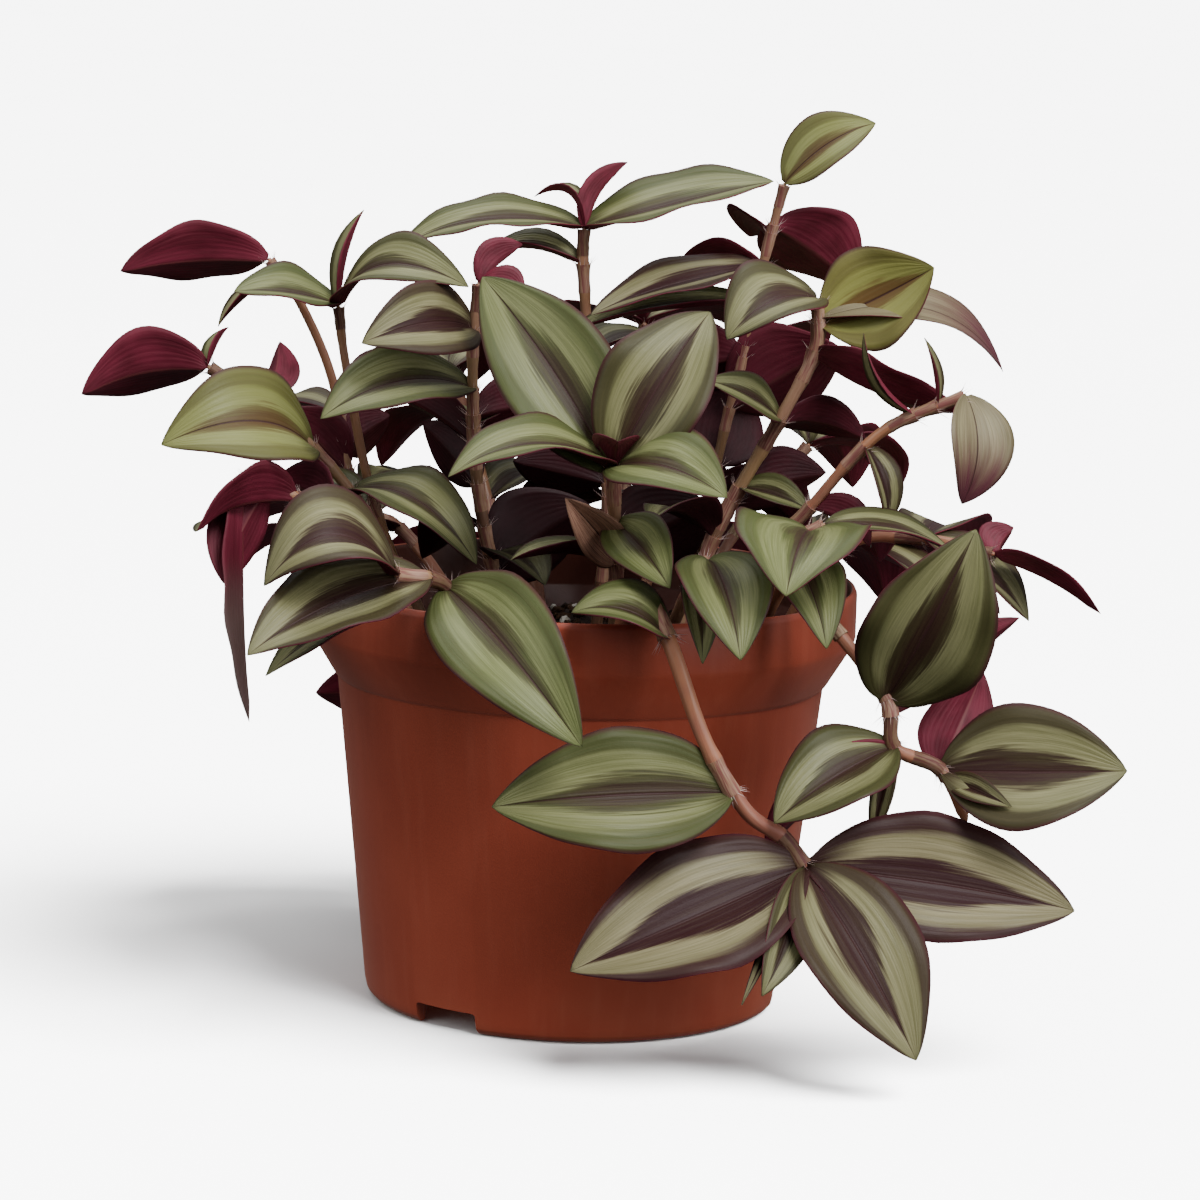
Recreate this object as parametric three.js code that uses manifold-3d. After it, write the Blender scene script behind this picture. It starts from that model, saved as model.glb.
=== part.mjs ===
// A striped tradescantia in a round nursery pot: pot, soil and leafy stems.
// Millimetres, +Z up, origin on the pot's axis where the pot stands, -Y to the front.

import * as THREE from "three";
import { mergeVertices } from "three/addons/utils/BufferGeometryUtils.js";
import Module from "manifold-3d";

const wasm = await Module();
wasm.setup();

// Pot
const potHeight = 93;
const rimRadius = 60.2;
const bandHeight = 21; // the upright band at the top, with its sloped underside
const bandSlope = 10;
const neckRadius = 54; // body just under the band
const footRadius = 46;
const wall = 1.5;
const skirt = 5; // the base plate is lifted this far above the floor
const centreFootRadius = 13;
const potSides = 30;
const notchWidth = 16;
const notchHeight = 4.6;
const notchAngles = [-126, -6, 114]; // degrees from +X, three gaps in the skirt
const drainHoles = 8;
const drainRadius = 4;
const drainCircle = 29;

// Soil
const soilCentre = 81;
const soilEdge = 77;
const seat = 0.4; // gap between pieces that touch
const soilSides = 24;

// Stems and leaves
const stemSides = 5;
const stepLength = 12; // along a stem
const bladeThickness = 0.8;
// Where the blade's cross sections lie along it, by the leaf's full width
const bladeRows = [
  { upTo: 13, rows: [0, 0.35, 0.75, 1] },
  { upTo: 21, rows: [0, 0.2, 0.5, 0.82, 1] },
  { upTo: Infinity, rows: [0, 0.13, 0.36, 0.62, 0.86, 1] },
];
const foldRise = 0.3; // how far each half rises from the midrib, per unit of half width
const rootShare = 0.1; // of the full width, where the blade leaves the stem
const tipHalfWidth = 0.4;

// Ways the striped face of a leaf looks
const UP = [0, 0, 1];
const UP_FRONT = [0, -0.34, 0.94];
const FRONT_UP = [0, -0.64, 0.77];
const FRONT = [0, -0.9, 0.44];
const UP_BACK = [0, 0.5, 0.87];
const BACK_UP = [0, 0.8, 0.6];
const LEFT_FRONT = [-0.9, -0.4, 0.2];

// Each shoot: stem diameter, stem nodes from the root up, and its leaves.
// A leaf: stem node it grows from (2.5 is halfway from node 2 to node 3), tip,
// full width, how high its midrib arches over a straight line, where its striped face looks.
const shoots = [
  {
    name: "shoot_left_high",
    thick: 2.4,
    nodes: [[-32, 4, 60], [-36, 4, 80], [-47, 2, 110], [-53, 0, 138], [-55, 0, 151.5]],
    leaves: [
      [4, [-50, 4, 172], 6, 1.5, LEFT_FRONT],
      [4, [-77, -8, 154.5], 18, 1.5, UP_FRONT],
      [4, [-26, -24, 158.5], 17, 8, FRONT_UP],
      [2, [-38, 28, 107], 15, 4, UP],
    ],
  },
  {
    name: "shoot_left_arching",
    thick: 2.4,
    nodes: [[-38, -3, 60], [-42, -2, 80], [-52, 6, 112], [-56.5, 9, 134], [-64, 9, 151], [-71, 8, 160.5]],
    leaves: [
      [5, [-103, 5, 157], 18, 2, [0, 0.75, 0.65]],
      [4.7, [-81, 0, 146], 5, 1, LEFT_FRONT],
      [2.6, [-82, 30, 118], 18, 5, UP],
      [2.3, [-44, 14, 126], 13, 1, [0, 0.9, 0.4]],
      [2.1, [-67, 2, 128], 14, 1, [0, 0.9, 0.4]],
    ],
  },
  {
    name: "shoot_left_reaching",
    thick: 2.8,
    nodes: [
      [-28, -14, 60], [-32, -14, 80], [-48, -15, 109],
      [-60, -20, 124], [-70, -22, 133], [-81, -24, 140],
    ],
    leaves: [
      [5, [-107, -30, 134], 20, 3, [0, 0.75, 0.65]],
      [5, [-77, -20, 148], 5, 1, LEFT_FRONT],
      [2.9, [-89, -40, 125], 25, 8, [0.1, -0.75, 0.65]],
      [4, [-67, -8, 144], 11, 2, [0.3, 0.8, 0.3]],
      [2.2, [-22.5, -36, 101], 18, 7, UP_FRONT],
      [2, [-76, 10, 108], 18, 5, UP],
    ],
  },
  {
    name: "shoot_left_hanging",
    thick: 2.6,
    nodes: [[-30, -24, 60], [-33, -25, 80], [-47, -28, 104], [-61, -34, 114], [-73, -38, 118]],
    leaves: [
      [3, [-80, -54, 109], 20, 3, [0.2, 0.8, 0.55]],
      [4, [-69, -48, 68], 17, 0.5, [-0.9, 0.1, 0.2]],
      [3.5, [-75, -46, 97], 14, 2, [-0.3, 0.85, 0.4]],
      [2.4, [-67, -20, 115], 15, 3, BACK_UP],
      [2, [-74, -8, 96], 18, 4, UP],
    ],
  },
  {
    name: "shoot_rim_left",
    thick: 3.4,
    nodes: [[-21, -32, 60], [-23, -36, 80], [-28, -50, 98], [-39, -58, 102]],
    leaves: [
      [3, [-65, -66, 100], 27, 11, [0, -0.5, 0.87]],
      [2.4, [-67, -80, 88], 22, 3, FRONT_UP],
      [2, [1, -84, 72], 24, 8, [-0.25, -0.75, 0.6]],
      [2.4, [-64, -70, 82], 12, 3, [-0.3, -0.6, 0.7]],
    ],
  },
  {
    name: "shoot_front_rosette",
    thick: 3.2,
    nodes: [[6, -26, 60], [7, -29, 80], [7, -38, 103], [6, -44, 118], [6, -46, 124]],
    leaves: [
      [3.7, [-23, -27, 161], 25, 3, [0.1, -0.95, 0.3]],
      [4, [-28, -62, 123], 19, 6, UP_FRONT],
      [4, [25, -37, 156], 24, 5, [-0.15, -0.95, 0.25]],
      [4, [29, -66, 121], 21, 4, FRONT_UP],
      [4, [6.5, -55, 130.5], 10, 1, [0, 0.8, 0.6]],
      [2, [-15, -48, 104], 9, 2, UP],
      [2, [-4, -52, 118], 10, 1, [0, -1, 0.2]],
      [2.5, [18, -66, 102], 14, 2, [-0.2, -0.7, 0.7]],
    ],
  },
  {
    name: "shoot_crown_tall",
    thick: 2.8,
    nodes: [[2, 2, 60], [3, 3, 80], [5, 2, 111], [0, 2, 142], [-2, 0, 162], [-2, 0, 170]],
    leaves: [
      [5, [-43, -4, 164], 15, 4.5, UP_FRONT],
      [5, [38.5, -6, 181.5], 23, 0.5, UP_FRONT],
      [5, [7, 4, 184], 8, 2, [-0.8, 0.5, 0.5]],
      [5, [-13, 4, 176], 5, 5, UP],
      [4, [-24, 4, 163], 8, 3, UP_FRONT],
      [3, [-26, 28, 132], 20, 6, UP],
      [3, [24, 28, 136], 20, 6, UP],
      [2, [-14, 36, 95], 20, 4, UP_BACK],
      [1.8, [22, 16, 93], 18, 4, UP_BACK],
      [1.6, [27, -7, 111], 21, 1, [0, 0.95, 0.1]],
      [2.1, [-16, -4, 119], 14, 1, [0, 0.9, 0.3]],
    ],
  },
  {
    name: "shoot_left_inner",
    thick: 2.8,
    nodes: [[-14, -8, 60], [-16, -9, 80], [-23, -12, 112], [-25, -16, 141], [-24, -18, 159]],
    leaves: [
      [2.8, [-56, -36, 131], 19, 5, FRONT_UP],
      [4, [-15, -14, 167], 10, 1, [0, 0.5, 0.6]],
      [4, [-14, -28, 158], 8, 1, [0.4, 0.8, 0.2]],
      [2.5, [-22, 14, 122], 16, 4, UP],
      [1.6, [-8, -30, 96], 14, 3, UP],
      [1.8, [-36, 14, 94], 16, 4, UP_BACK],
      [3.4, [-47.5, -39, 147.5], 18, 4, FRONT],
      [1.5, [1, -5, 110], 22, 2, [0, 0.9, 0.4]],
      [2.6, [-8, -6, 132], 14, 1, [0, 0.9, 0.4]],
      [2.4, [-48, -6, 135], 10, 2, BACK_UP],
      [2.1, [-36, -4, 127], 13, 1, [0, 0.9, 0.4]],
    ],
  },
  {
    name: "shoot_right_high",
    thick: 2.4,
    nodes: [[22, 2, 60], [24, 3, 80], [28, 5, 115], [34, 4, 145], [37, 0, 163], [41, -3, 181]],
    leaves: [
      [5, [60, -4, 194.5], 15.5, 2.5, [-0.2, -0.7, 0.7]],
      [4.5, [58.5, 14, 157], 22, 2, BACK_UP],
      [4.4, [34, 14, 168], 18, 1, BACK_UP],
      [4, [0, -16, 152.5], 16, 1, UP_FRONT],
      [4, [19, 12, 161], 13, 2, UP_BACK],
      [3, [50, 36, 136], 22, 6, UP],
      [2, [50, 22, 100], 20, 4, UP_BACK],
      [3.5, [-5, -10, 148], 9, 2, UP_FRONT],
      [2.5, [54, -2, 146], 24, 2, [0, 0.9, 0.4]],
      [2.9, [15, 4, 136], 20, 2, [0, 0.9, 0.4]],
      [2.1, [33, 12, 136], 18, 1, [0, 0.95, 0.2]],
    ],
  },
  {
    name: "shoot_right_middle",
    thick: 3.2,
    nodes: [[18, -12, 60], [21, -13, 80], [28, -18, 106], [41, -22, 132], [48, -22, 147], [48, -22, 158]],
    leaves: [
      [5, [28.8, -34, 150], 22, 4.5, [0, -0.5, 0.87]],
      [4.5, [72, -29, 166], 23, -3, [0.1, -0.9, 0.4]],
      [4.6, [89, -12, 142.5], 12, 9.5, [0.25, -0.5, 0.85]],
      [4, [79, -36, 136.5], 20, -3, UP_BACK],
      [3, [25, -32, 141], 11, 2, FRONT_UP],
      [2, [14, -42, 112], 14, 4, UP_BACK],
      [1.5, [46, 8, 92], 15, 4, UP_BACK],
      [3, [60, -10, 127], 12, 2, BACK_UP],
      [2.3, [52, -8, 119], 16, 1, [0, 0.9, 0.4]],
      [2.4, [48, -26, 113], 8, 1, FRONT_UP],
    ],
  },
  {
    name: "shoot_right_reaching",
    thick: 2.8,
    nodes: [
      [30, -20, 60], [33, -21, 80], [40, -28, 104], [48, -32, 115],
      [57, -36, 127], [65, -38, 134], [79, -41, 140.5],
    ],
    leaves: [
      [6, [78.5, -47, 118.5], 16, 4, [0.5, -0.75, 0.45]],
      [5.6, [69.5, -43, 152.5], 3.4, 1, [0.9, -0.4, 0.1]],
      [5.3, [57, -42, 153], 4, 3, [-0.7, -0.3, 0.5]],
      [4.2, [63.5, -41, 112.5], 7, 3, [0.5, -0.8, 0.3]],
      [3, [60, -42, 108], 10, 2, BACK_UP],
    ],
  },
  {
    name: "shoot_rim_right",
    thick: 3,
    nodes: [[26, -30, 60], [28, -33, 80], [36, -44, 100], [44, -50, 110], [50, -52, 114]],
    leaves: [
      [3.5, [41, -84, 104], 28, 4, UP_FRONT],
      [2.6, [50, -75, 92], 16, 5, UP],
      [4, [77, -44, 108], 12, 2, UP_FRONT],
    ],
  },
  {
    name: "shoot_front_low",
    thick: 3,
    nodes: [[14, -38, 60], [16, -41, 80], [22, -47, 98], [26, -52, 106]],
    leaves: [
      [3, [32.5, -80, 90], 20, 5, UP_FRONT],
      [2.4, [25, -74, 88], 9, 3, UP],
    ],
  },
  {
    name: "shoot_trailing_front",
    thick: 3.8,
    nodes: [
      [4, -40, 60], [6, -42, 80], [12, -52, 98], [18, -63.5, 91],
      [26, -67, 71], [35, -65, 56], [43, -63, 50], [48, -64, 44],
    ],
    leaves: [
      [3, [-2, -64, 96], 19, 4, UP_FRONT],
      [4.7, [-17, -74, 57], 27, 3, [0, -0.9, 0.45]],
      [7, [0, -82, 25], 30, 2, [-0.2, -0.85, 0.5]],
      [7, [104.5, -60, 35.5], 28, 0, [0.1, -0.85, 0.5]],
      [7, [71, -84, 9], 26, 4, [0.25, -0.9, 0.35]],
      [7, [39, -86, 22], 11, 1, [0.3, -0.9, 0.3]],
      [7, [35, -86, 20], 3.6, 0.5, [-0.3, -0.9, 0.3]],
    ],
  },
  {
    name: "shoot_trailing_right",
    thick: 3.2,
    nodes: [
      [34, -12, 60], [37, -15, 80], [44, -42, 101], [53, -52, 92],
      [64, -54, 78], [66, -54, 68], [76, -52, 63], [82, -51, 52],
    ],
    leaves: [
      [4, [80, -66, 116], 28, 4, [0.2, -0.97, 0.1]],
      [5, [41, -68, 54], 21, 2.5, FRONT_UP],
      [6, [114, -60, 65.5], 28, 1, [0, -0.85, 0.5]],
      [6, [85, -40, 82], 16, 3, [0.2, 0.8, 0.3]],
      [6.2, [90, -64, 58], 6, 1, FRONT],
      [4.3, [92, -42, 94], 12, 2, BACK_UP],
      [5, [40, -54, 45], 18, 3, UP_BACK],
      [5, [62, -56, 48], 5, 0.5, FRONT],
    ],
  },
  {
    name: "shoot_right_low",
    thick: 2.8,
    nodes: [[40, -2, 60], [43, -3, 80], [56, -11, 103], [73, -18, 106.5], [88, -23, 104.5]],
    leaves: [
      [4, [110, -34, 94], 12, 1.5, UP_BACK],
      [4, [92, -20, 110], 9, 1, BACK_UP],
      [3, [96, -22, 90], 16, 3, [0.2, -0.4, 0.9]],
      [3, [84, 14, 99], 20, 4, UP],
      [2, [66, 16, 96], 18, 5, UP],
    ],
  },
  {
    name: "shoot_back_left_low",
    thick: 3,
    nodes: [[-24, 16, 60], [-27, 18, 80], [-42, 32, 98], [-56, 44, 99]],
    leaves: [
      [3, [-84, 54, 86], 22, 6, UP],
      [3, [-62, 80, 80], 22, 6, UP],
      [2, [-68, 24, 88], 18, 5, UP],
      [2.5, [-34, 64, 102], 18, 5, UP],
    ],
  },
  {
    name: "shoot_back_left_high",
    thick: 2.8,
    nodes: [[-14, 12, 60], [-16, 14, 80], [-22, 24, 106], [-28, 34, 124], [-31, 36, 134]],
    leaves: [
      [4, [-56, 48, 124], 20, 6, UP],
      [4, [-38, 70, 118], 22, 6, UP],
      [4, [-10, 52, 132], 18, 5, UP],
      [3, [-48, 62, 108], 18, 5, UP],
      [2, [-4, 46, 106], 18, 5, UP],
    ],
  },
  {
    name: "shoot_back_centre_high",
    thick: 2.8,
    nodes: [[5, 18, 60], [6, 20, 80], [9, 32, 112], [12, 38, 136], [12, 38, 146]],
    leaves: [
      [4, [-12, 66, 134], 20, 6, UP],
      [4, [40, 56, 136], 20, 6, UP],
      [4, [14, 30, 156], 7, 1, UP_FRONT],
      [3, [12, 78, 114], 22, 6, UP],
      [2, [34, 50, 104], 18, 5, UP],
    ],
  },
  {
    name: "shoot_back_right_high",
    thick: 2.8,
    nodes: [[20, 14, 60], [23, 16, 80], [36, 26, 104], [50, 32, 120]],
    leaves: [
      [3, [70, 46, 106], 22, 6, UP],
      [3, [62, 64, 106], 22, 6, UP],
      [3, [46, 42, 136], 8, 1, UP_FRONT],
    ],
  },
  {
    name: "shoot_back_right_low",
    thick: 3,
    nodes: [[30, 14, 60], [34, 17, 80], [46, 32, 97], [60, 42, 95]],
    leaves: [
      [3, [96, 46, 80], 24, 6, UP],
      [3, [72, 76, 76], 22, 6, UP],
      [2.3, [42, 68, 88], 20, 5, UP],
      [2.5, [84, 18, 84], 18, 4, UP],
    ],
  },
  {
    name: "shoot_back_centre_low",
    thick: 3,
    nodes: [[12, 32, 60], [13, 36, 80], [18, 52, 97], [20, 64, 95]],
    leaves: [
      [3, [-6, 94, 82], 20, 6, UP],
      [3, [40, 92, 76], 20, 6, UP],
      [3, [18, 102, 88], 10, 3, UP],
    ],
  },
  {
    name: "shoot_trailing_back",
    thick: 3.4,
    nodes: [[-8, 32, 60], [-10, 36, 80], [-15, 53, 100], [-19, 66, 89], [-23, 68, 66], [-24, 70, 48]],
    leaves: [
      [5, [-63, 72, 52], 26, 5, [-0.1, 0.9, 0.4]],
      [5, [14, 88, 28], 26, 5, [0.1, 0.8, 0.6]],
      [5, [-32, 84, 8], 24, 5, [-0.1, 0.9, 0.4]],
      [4, [22, 80, 60], 24, 4, [0, 0.8, 0.6]],
      [3, [-58, 70, 74], 20, 4, [-0.1, 0.6, 0.8]],
    ],
  },
];

const clay = new THREE.MeshStandardMaterial({ color: 0x8a3f2c, roughness: 0.5, metalness: 0 });
const earth = new THREE.MeshStandardMaterial({ color: 0x231913, roughness: 1, metalness: 0 });
const foliage = new THREE.MeshStandardMaterial({ color: 0x7d8a58, roughness: 0.5, metalness: 0 });

function vector([x, y, z]) {
  return new THREE.Vector3(x, y, z);
}

// A closed geometry as a solid that can be joined and cut.
function solid(geometry) {
  const bare = geometry.clone();
  bare.deleteAttribute("normal");
  bare.deleteAttribute("uv");
  const merged = mergeVertices(bare, 1e-4);
  const corners = merged.index.array;
  const triangles = [];
  for (let i = 0; i < corners.length; i += 3) {
    const [a, b, c] = [corners[i], corners[i + 1], corners[i + 2]];
    if (a !== b && b !== c && c !== a) triangles.push(a, b, c);
  }
  return new wasm.Manifold(new wasm.Mesh({
    numProp: 3,
    vertProperties: merged.attributes.position.array,
    triVerts: Uint32Array.from(triangles),
  }));
}

function namedMesh(name, shape, material) {
  const { vertProperties, triVerts } = shape.getMesh();
  const geometry = new THREE.BufferGeometry();
  geometry.setAttribute("position", new THREE.BufferAttribute(vertProperties, 3));
  geometry.setIndex(new THREE.BufferAttribute(triVerts, 1));
  geometry.computeVertexNormals();
  const mesh = new THREE.Mesh(geometry, material.clone());
  mesh.name = name;
  return mesh;
}

// A round body about the Z axis from an outline of [radius, height] points.
function turned(outline, sides) {
  const points = outline.map(([radius, height]) => new THREE.Vector2(radius, height));
  const geometry = new THREE.LatheGeometry(points, sides);
  geometry.rotateX(Math.PI / 2);
  return solid(geometry);
}

function potInnerRadius(height) {
  const bandBottom = potHeight - bandHeight;
  if (height <= bandBottom) {
    const rise = (height - skirt) / (bandBottom - skirt);
    return footRadius + (neckRadius - footRadius) * rise - wall;
  }
  const rise = Math.min(1, (height - bandBottom) / bandSlope);
  return neckRadius + (rimRadius - neckRadius) * rise - wall;
}

function makePot() {
  const bandBottom = potHeight - bandHeight;
  const bandShoulder = bandBottom + bandSlope;
  const plateTop = skirt + wall;
  const shell = turned([
    [0, 0],
    [centreFootRadius, 0],
    [centreFootRadius + 3, skirt],
    [footRadius - 3.4, skirt],
    [footRadius - 2.8, 0],
    [footRadius - 1.4, 0],
    [footRadius - 0.3, 1.2],
    [footRadius + 0.1, 3],
    [neckRadius - 0.5, bandBottom - 0.6],
    [neckRadius + 0.3, bandBottom],
    [rimRadius - 0.3, bandShoulder - 0.8],
    [rimRadius, bandShoulder + 0.6],
    [rimRadius, potHeight - 1.2],
    [rimRadius - 0.5, potHeight],
    [rimRadius - 1.1, potHeight],
    [rimRadius - wall, potHeight - 0.8],
    [potInnerRadius(bandShoulder), bandShoulder],
    [potInnerRadius(bandBottom), bandBottom],
    [potInnerRadius(plateTop), plateTop],
    [centreFootRadius + 3.8, plateTop],
    [centreFootRadius + 0.8, wall],
    [0, wall],
  ], potSides);
  const gaps = notchAngles.map((angle) => {
    const gap = new THREE.BoxGeometry(notchWidth, notchWidth, 2 * notchHeight);
    gap.translate(footRadius, 0, 0);
    gap.rotateZ(THREE.MathUtils.degToRad(angle));
    return solid(gap);
  });
  const holes = [];
  for (let i = 0; i < drainHoles; i += 1) {
    const angle = (2 * Math.PI * (i + 0.5)) / drainHoles;
    const hole = new THREE.CylinderGeometry(drainRadius, drainRadius, 3 * wall, 12);
    hole.rotateX(Math.PI / 2);
    hole.translate(drainCircle * Math.cos(angle), drainCircle * Math.sin(angle), skirt + wall / 2);
    holes.push(solid(hole));
  }
  return shell.subtract(wasm.Manifold.union([...gaps, ...holes]));
}

// A stem's centre line. With a reach, its root end goes that much deeper, for the hole it stands in.
function centreLine(nodes, reach = 0) {
  const points = nodes.map(vector);
  const down = points[0].clone().sub(points[1]).normalize();
  points[0].addScaledVector(down, reach);
  return new THREE.CatmullRomCurve3(points, false, "catmullrom", 0.5);
}

function stem(line, radius) {
  const section = new THREE.Shape();
  for (let i = 0; i < stemSides; i += 1) {
    const angle = (2 * Math.PI * i) / stemSides;
    const [x, y] = [radius * Math.cos(angle), radius * Math.sin(angle)];
    if (i === 0) section.moveTo(x, y);
    else section.lineTo(x, y);
  }
  section.closePath();
  const steps = Math.max(4, Math.round(line.getLength() / stepLength));
  return solid(new THREE.ExtrudeGeometry(section, { steps, bevelEnabled: false, extrudePath: line }));
}

// Share of the full width along a leaf: round near the stem, drawn out to a point.
function leafWidth(along) {
  return Math.sin(Math.PI * along ** 0.85) ** 0.8;
}

// One blade: folded along its midrib and arched from its root to its tip.
function blade(root, tip, width, arch, face) {
  const chord = tip.clone().sub(root);
  const forward = chord.clone().normalize();
  const up = face.clone().addScaledVector(forward, -face.dot(forward)).normalize();
  const side = forward.clone().cross(up);
  const { rows } = bladeRows.find(({ upTo }) => width <= upTo);
  const positions = [];
  for (const along of rows) {
    const middle = root.clone().addScaledVector(chord, along);
    middle.addScaledVector(up, 4 * arch * along * (1 - along));
    const tangent = chord.clone().addScaledVector(up, 4 * arch * (1 - 2 * along));
    const normal = side.clone().cross(tangent).normalize();
    const share = Math.max(leafWidth(along), along === 0 ? rootShare : 0);
    const half = Math.max(share * width / 2, tipHalfWidth);
    const across = (u, depth) => middle.clone()
      .addScaledVector(side, u * half)
      .addScaledVector(normal, foldRise * Math.abs(u) * half - depth);
    for (const u of [-1, 0, 1]) positions.push(...across(u, 0).toArray());
    for (const u of [1, 0, -1]) positions.push(...across(u, bladeThickness).toArray());
  }
  const ring = 6;
  const faces = [0, 5, 1, 5, 4, 1, 1, 4, 2, 4, 3, 2];
  for (let row = 0; row + 1 < rows.length; row += 1) {
    for (let k = 0; k < ring; k += 1) {
      const a = row * ring + k;
      const b = row * ring + ((k + 1) % ring);
      const [c, d] = [a + ring, b + ring];
      const underside = k === 3 || k === 4;
      if (underside) faces.push(a, b, c, b, d, c);
      else faces.push(a, b, d, a, d, c);
    }
  }
  const end = (rows.length - 1) * ring;
  for (const corner of [0, 1, 5, 5, 1, 4, 1, 2, 4, 4, 2, 3]) faces.push(end + corner);
  const geometry = new THREE.BufferGeometry();
  geometry.setAttribute("position", new THREE.Float32BufferAttribute(positions, 3));
  geometry.setIndex(faces);
  return solid(geometry);
}

function makeShoot({ thick, nodes, leaves }) {
  const line = centreLine(nodes);
  const pieces = [stem(line, thick / 2)];
  for (const [node, tip, width, arch, face] of leaves) {
    const root = line.getPoint(node / (nodes.length - 1));
    pieces.push(blade(root, vector(tip), width, arch, vector(face)));
  }
  return wasm.Manifold.union(pieces);
}

// A domed plug of soil with a plain hole for each stem.
function makeSoil() {
  const bottom = skirt + wall + seat;
  const bandBottom = potHeight - bandHeight;
  const plug = turned([
    [0, bottom],
    [potInnerRadius(bottom) - seat, bottom],
    [potInnerRadius(bandBottom) - seat, bandBottom],
    [potInnerRadius(soilEdge) - 2 * seat, soilEdge],
    [0.85 * neckRadius, soilEdge + 1.5],
    [0.5 * neckRadius, soilCentre - 0.8],
    [0, soilCentre],
  ], soilSides);
  const holes = shoots.map(({ thick, nodes }) => (
    stem(centreLine(nodes.slice(0, 3), seat), thick / 2 + 1.5 * seat)
  ));
  return plug.subtract(wasm.Manifold.union(holes));
}

const plant = new THREE.Group();
plant.add(namedMesh("pot", makePot(), clay));
plant.add(namedMesh("soil", makeSoil(), earth));
for (const shoot of shoots) plant.add(namedMesh(shoot.name, makeShoot(shoot), foliage));

export default plant;
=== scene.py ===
# A striped tradescantia in a round nursery pot: pot, potting soil and leafy stems.
# Metres in Blender, +Z up, -Y to the front. Sizes are in millimetres where nothing else is said.

import math
import random
from bisect import bisect_left

import bpy
from mathutils import Matrix, Vector
from mathutils.kdtree import KDTree


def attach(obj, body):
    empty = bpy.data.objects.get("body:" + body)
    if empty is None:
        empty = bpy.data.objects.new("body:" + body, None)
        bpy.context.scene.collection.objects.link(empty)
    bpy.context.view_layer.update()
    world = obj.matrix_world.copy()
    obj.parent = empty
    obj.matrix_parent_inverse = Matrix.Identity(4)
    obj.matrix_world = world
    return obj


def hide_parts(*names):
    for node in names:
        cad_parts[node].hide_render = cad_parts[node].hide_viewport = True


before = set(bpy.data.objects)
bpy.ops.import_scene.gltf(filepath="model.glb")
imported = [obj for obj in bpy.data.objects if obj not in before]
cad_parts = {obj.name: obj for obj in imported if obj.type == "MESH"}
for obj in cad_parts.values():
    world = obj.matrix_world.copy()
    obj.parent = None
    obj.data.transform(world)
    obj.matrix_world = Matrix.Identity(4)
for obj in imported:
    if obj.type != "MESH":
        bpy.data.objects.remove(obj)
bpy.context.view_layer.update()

MM = 0.001

# Pot
POT_HEIGHT = 93
RIM_RADIUS = 60.2
BAND_HEIGHT = 21  # the upright band at the top, with its sloped underside
BAND_SLOPE = 10
BAND_BOTTOM = POT_HEIGHT - BAND_HEIGHT
NECK_RADIUS = 54  # body just under the band
FOOT_RADIUS = 46
WALL = 1.5
SKIRT = 5  # the base plate is lifted this far above the floor
PLATE_TOP = SKIRT + WALL
CENTRE_FOOT_RADIUS = 13
EDGE_ROUNDING = 0.5
POT_SIDES = 160
NOTCH_WIDTH = 16
NOTCH_HEIGHT = 4.6
NOTCH_ROUNDING = 1.2
NOTCH_ANGLES = (-126, -6, 114)  # degrees from +X, three gaps in the skirt
DRAIN_HOLES = 8
DRAIN_RADIUS = 4
DRAIN_CIRCLE = 29

# Soil
SOIL_CENTRE = 81
SOIL_EDGE = 77
SEAT = 0.4  # gap between pieces that touch
SOIL_SIDES = 96
SOIL_RINGS = (1, 0.97, 0.93, 0.88, 0.82, 0.76, 0.7, 0.63, 0.56, 0.49, 0.42, 0.35, 0.28, 0.21, 0.14, 0.07)
LUMP_SIZE = 6
LUMP_HEIGHT = 2.4
GRAINS = 620
PERLITE_EVERY = 14  # one grain in so many is perlite
GRAIN_SEED = 7

# Leaves
LEAF_THICKNESS = 0.7
LEAF_RELIEF = 0.12  # depth of the veins and streaks
FOLD_RISE = 0.3  # how far each half rises from the midrib, per unit of half width
YOUNG_WIDTH = 11  # a narrower leaf is folded more, and built of fewer faces
YOUNG_FOLD = 0.35  # added to the fold of such a leaf
ROOT_SHARE = 0.1  # of the full width, where the blade leaves the stem
TIP_HALF_WIDTH = 0.15
KEEL_DEPTH = 0.55
KEEL_HALF_WIDTH = 0.9
LOT_SPACING = 37  # gives each leaf its own part of the noise
WITHERED = -1  # ripeness of a dry brown leaf
FLUSHED = 1.5  # ripeness of a silver leaf that turns purple to its tip

# Stems and sheaths
STEM_STEP = 1.2
STEM_TAPER = 0.2  # of the stem's width is gone at its end
JOINT_SWELL = 0.16  # of the stem's width is added at a joint
JOINT_REACH = 1.6
FIBRE_DRIFT = 0.05  # how fast a stalk's streaks change along it
SHEATH_LENGTH = 2.2  # in stem diameters
SHEATH_FLARE = 0.35
SHEATH_RINGS = 7
DRY_SHARE = 0.65  # of the bare joints keep a dry sheath
HAIRS = 14
HAIR_SEED = 3
SHOOT_SEED = 100

# Camera, lights and floor: in metres and degrees, but the sensor and lens in millimetres
CAMERA_PLACE = (0.0038, -0.9471, 0.245)
CAMERA_DOWN = 9.4
CAMERA_ROLL = 1.7
SENSOR_WIDTH = 36
LENS = 131
LIGHT_TARGET = (0, 0, 0.1)
FLOOR_SIZE = 40
FLOOR_DROP = 0.0003

# Ways the striped face of a leaf looks
UP = (0, 0, 1)
UP_FRONT = (0, -0.34, 0.94)
FRONT_UP = (0, -0.64, 0.77)
FRONT = (0, -0.9, 0.44)
UP_BACK = (0, 0.5, 0.87)
BACK_UP = (0, 0.8, 0.6)
BACK = (0, 0.9, 0.4)
LEFT_FRONT = (-0.9, -0.4, 0.2)

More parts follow.
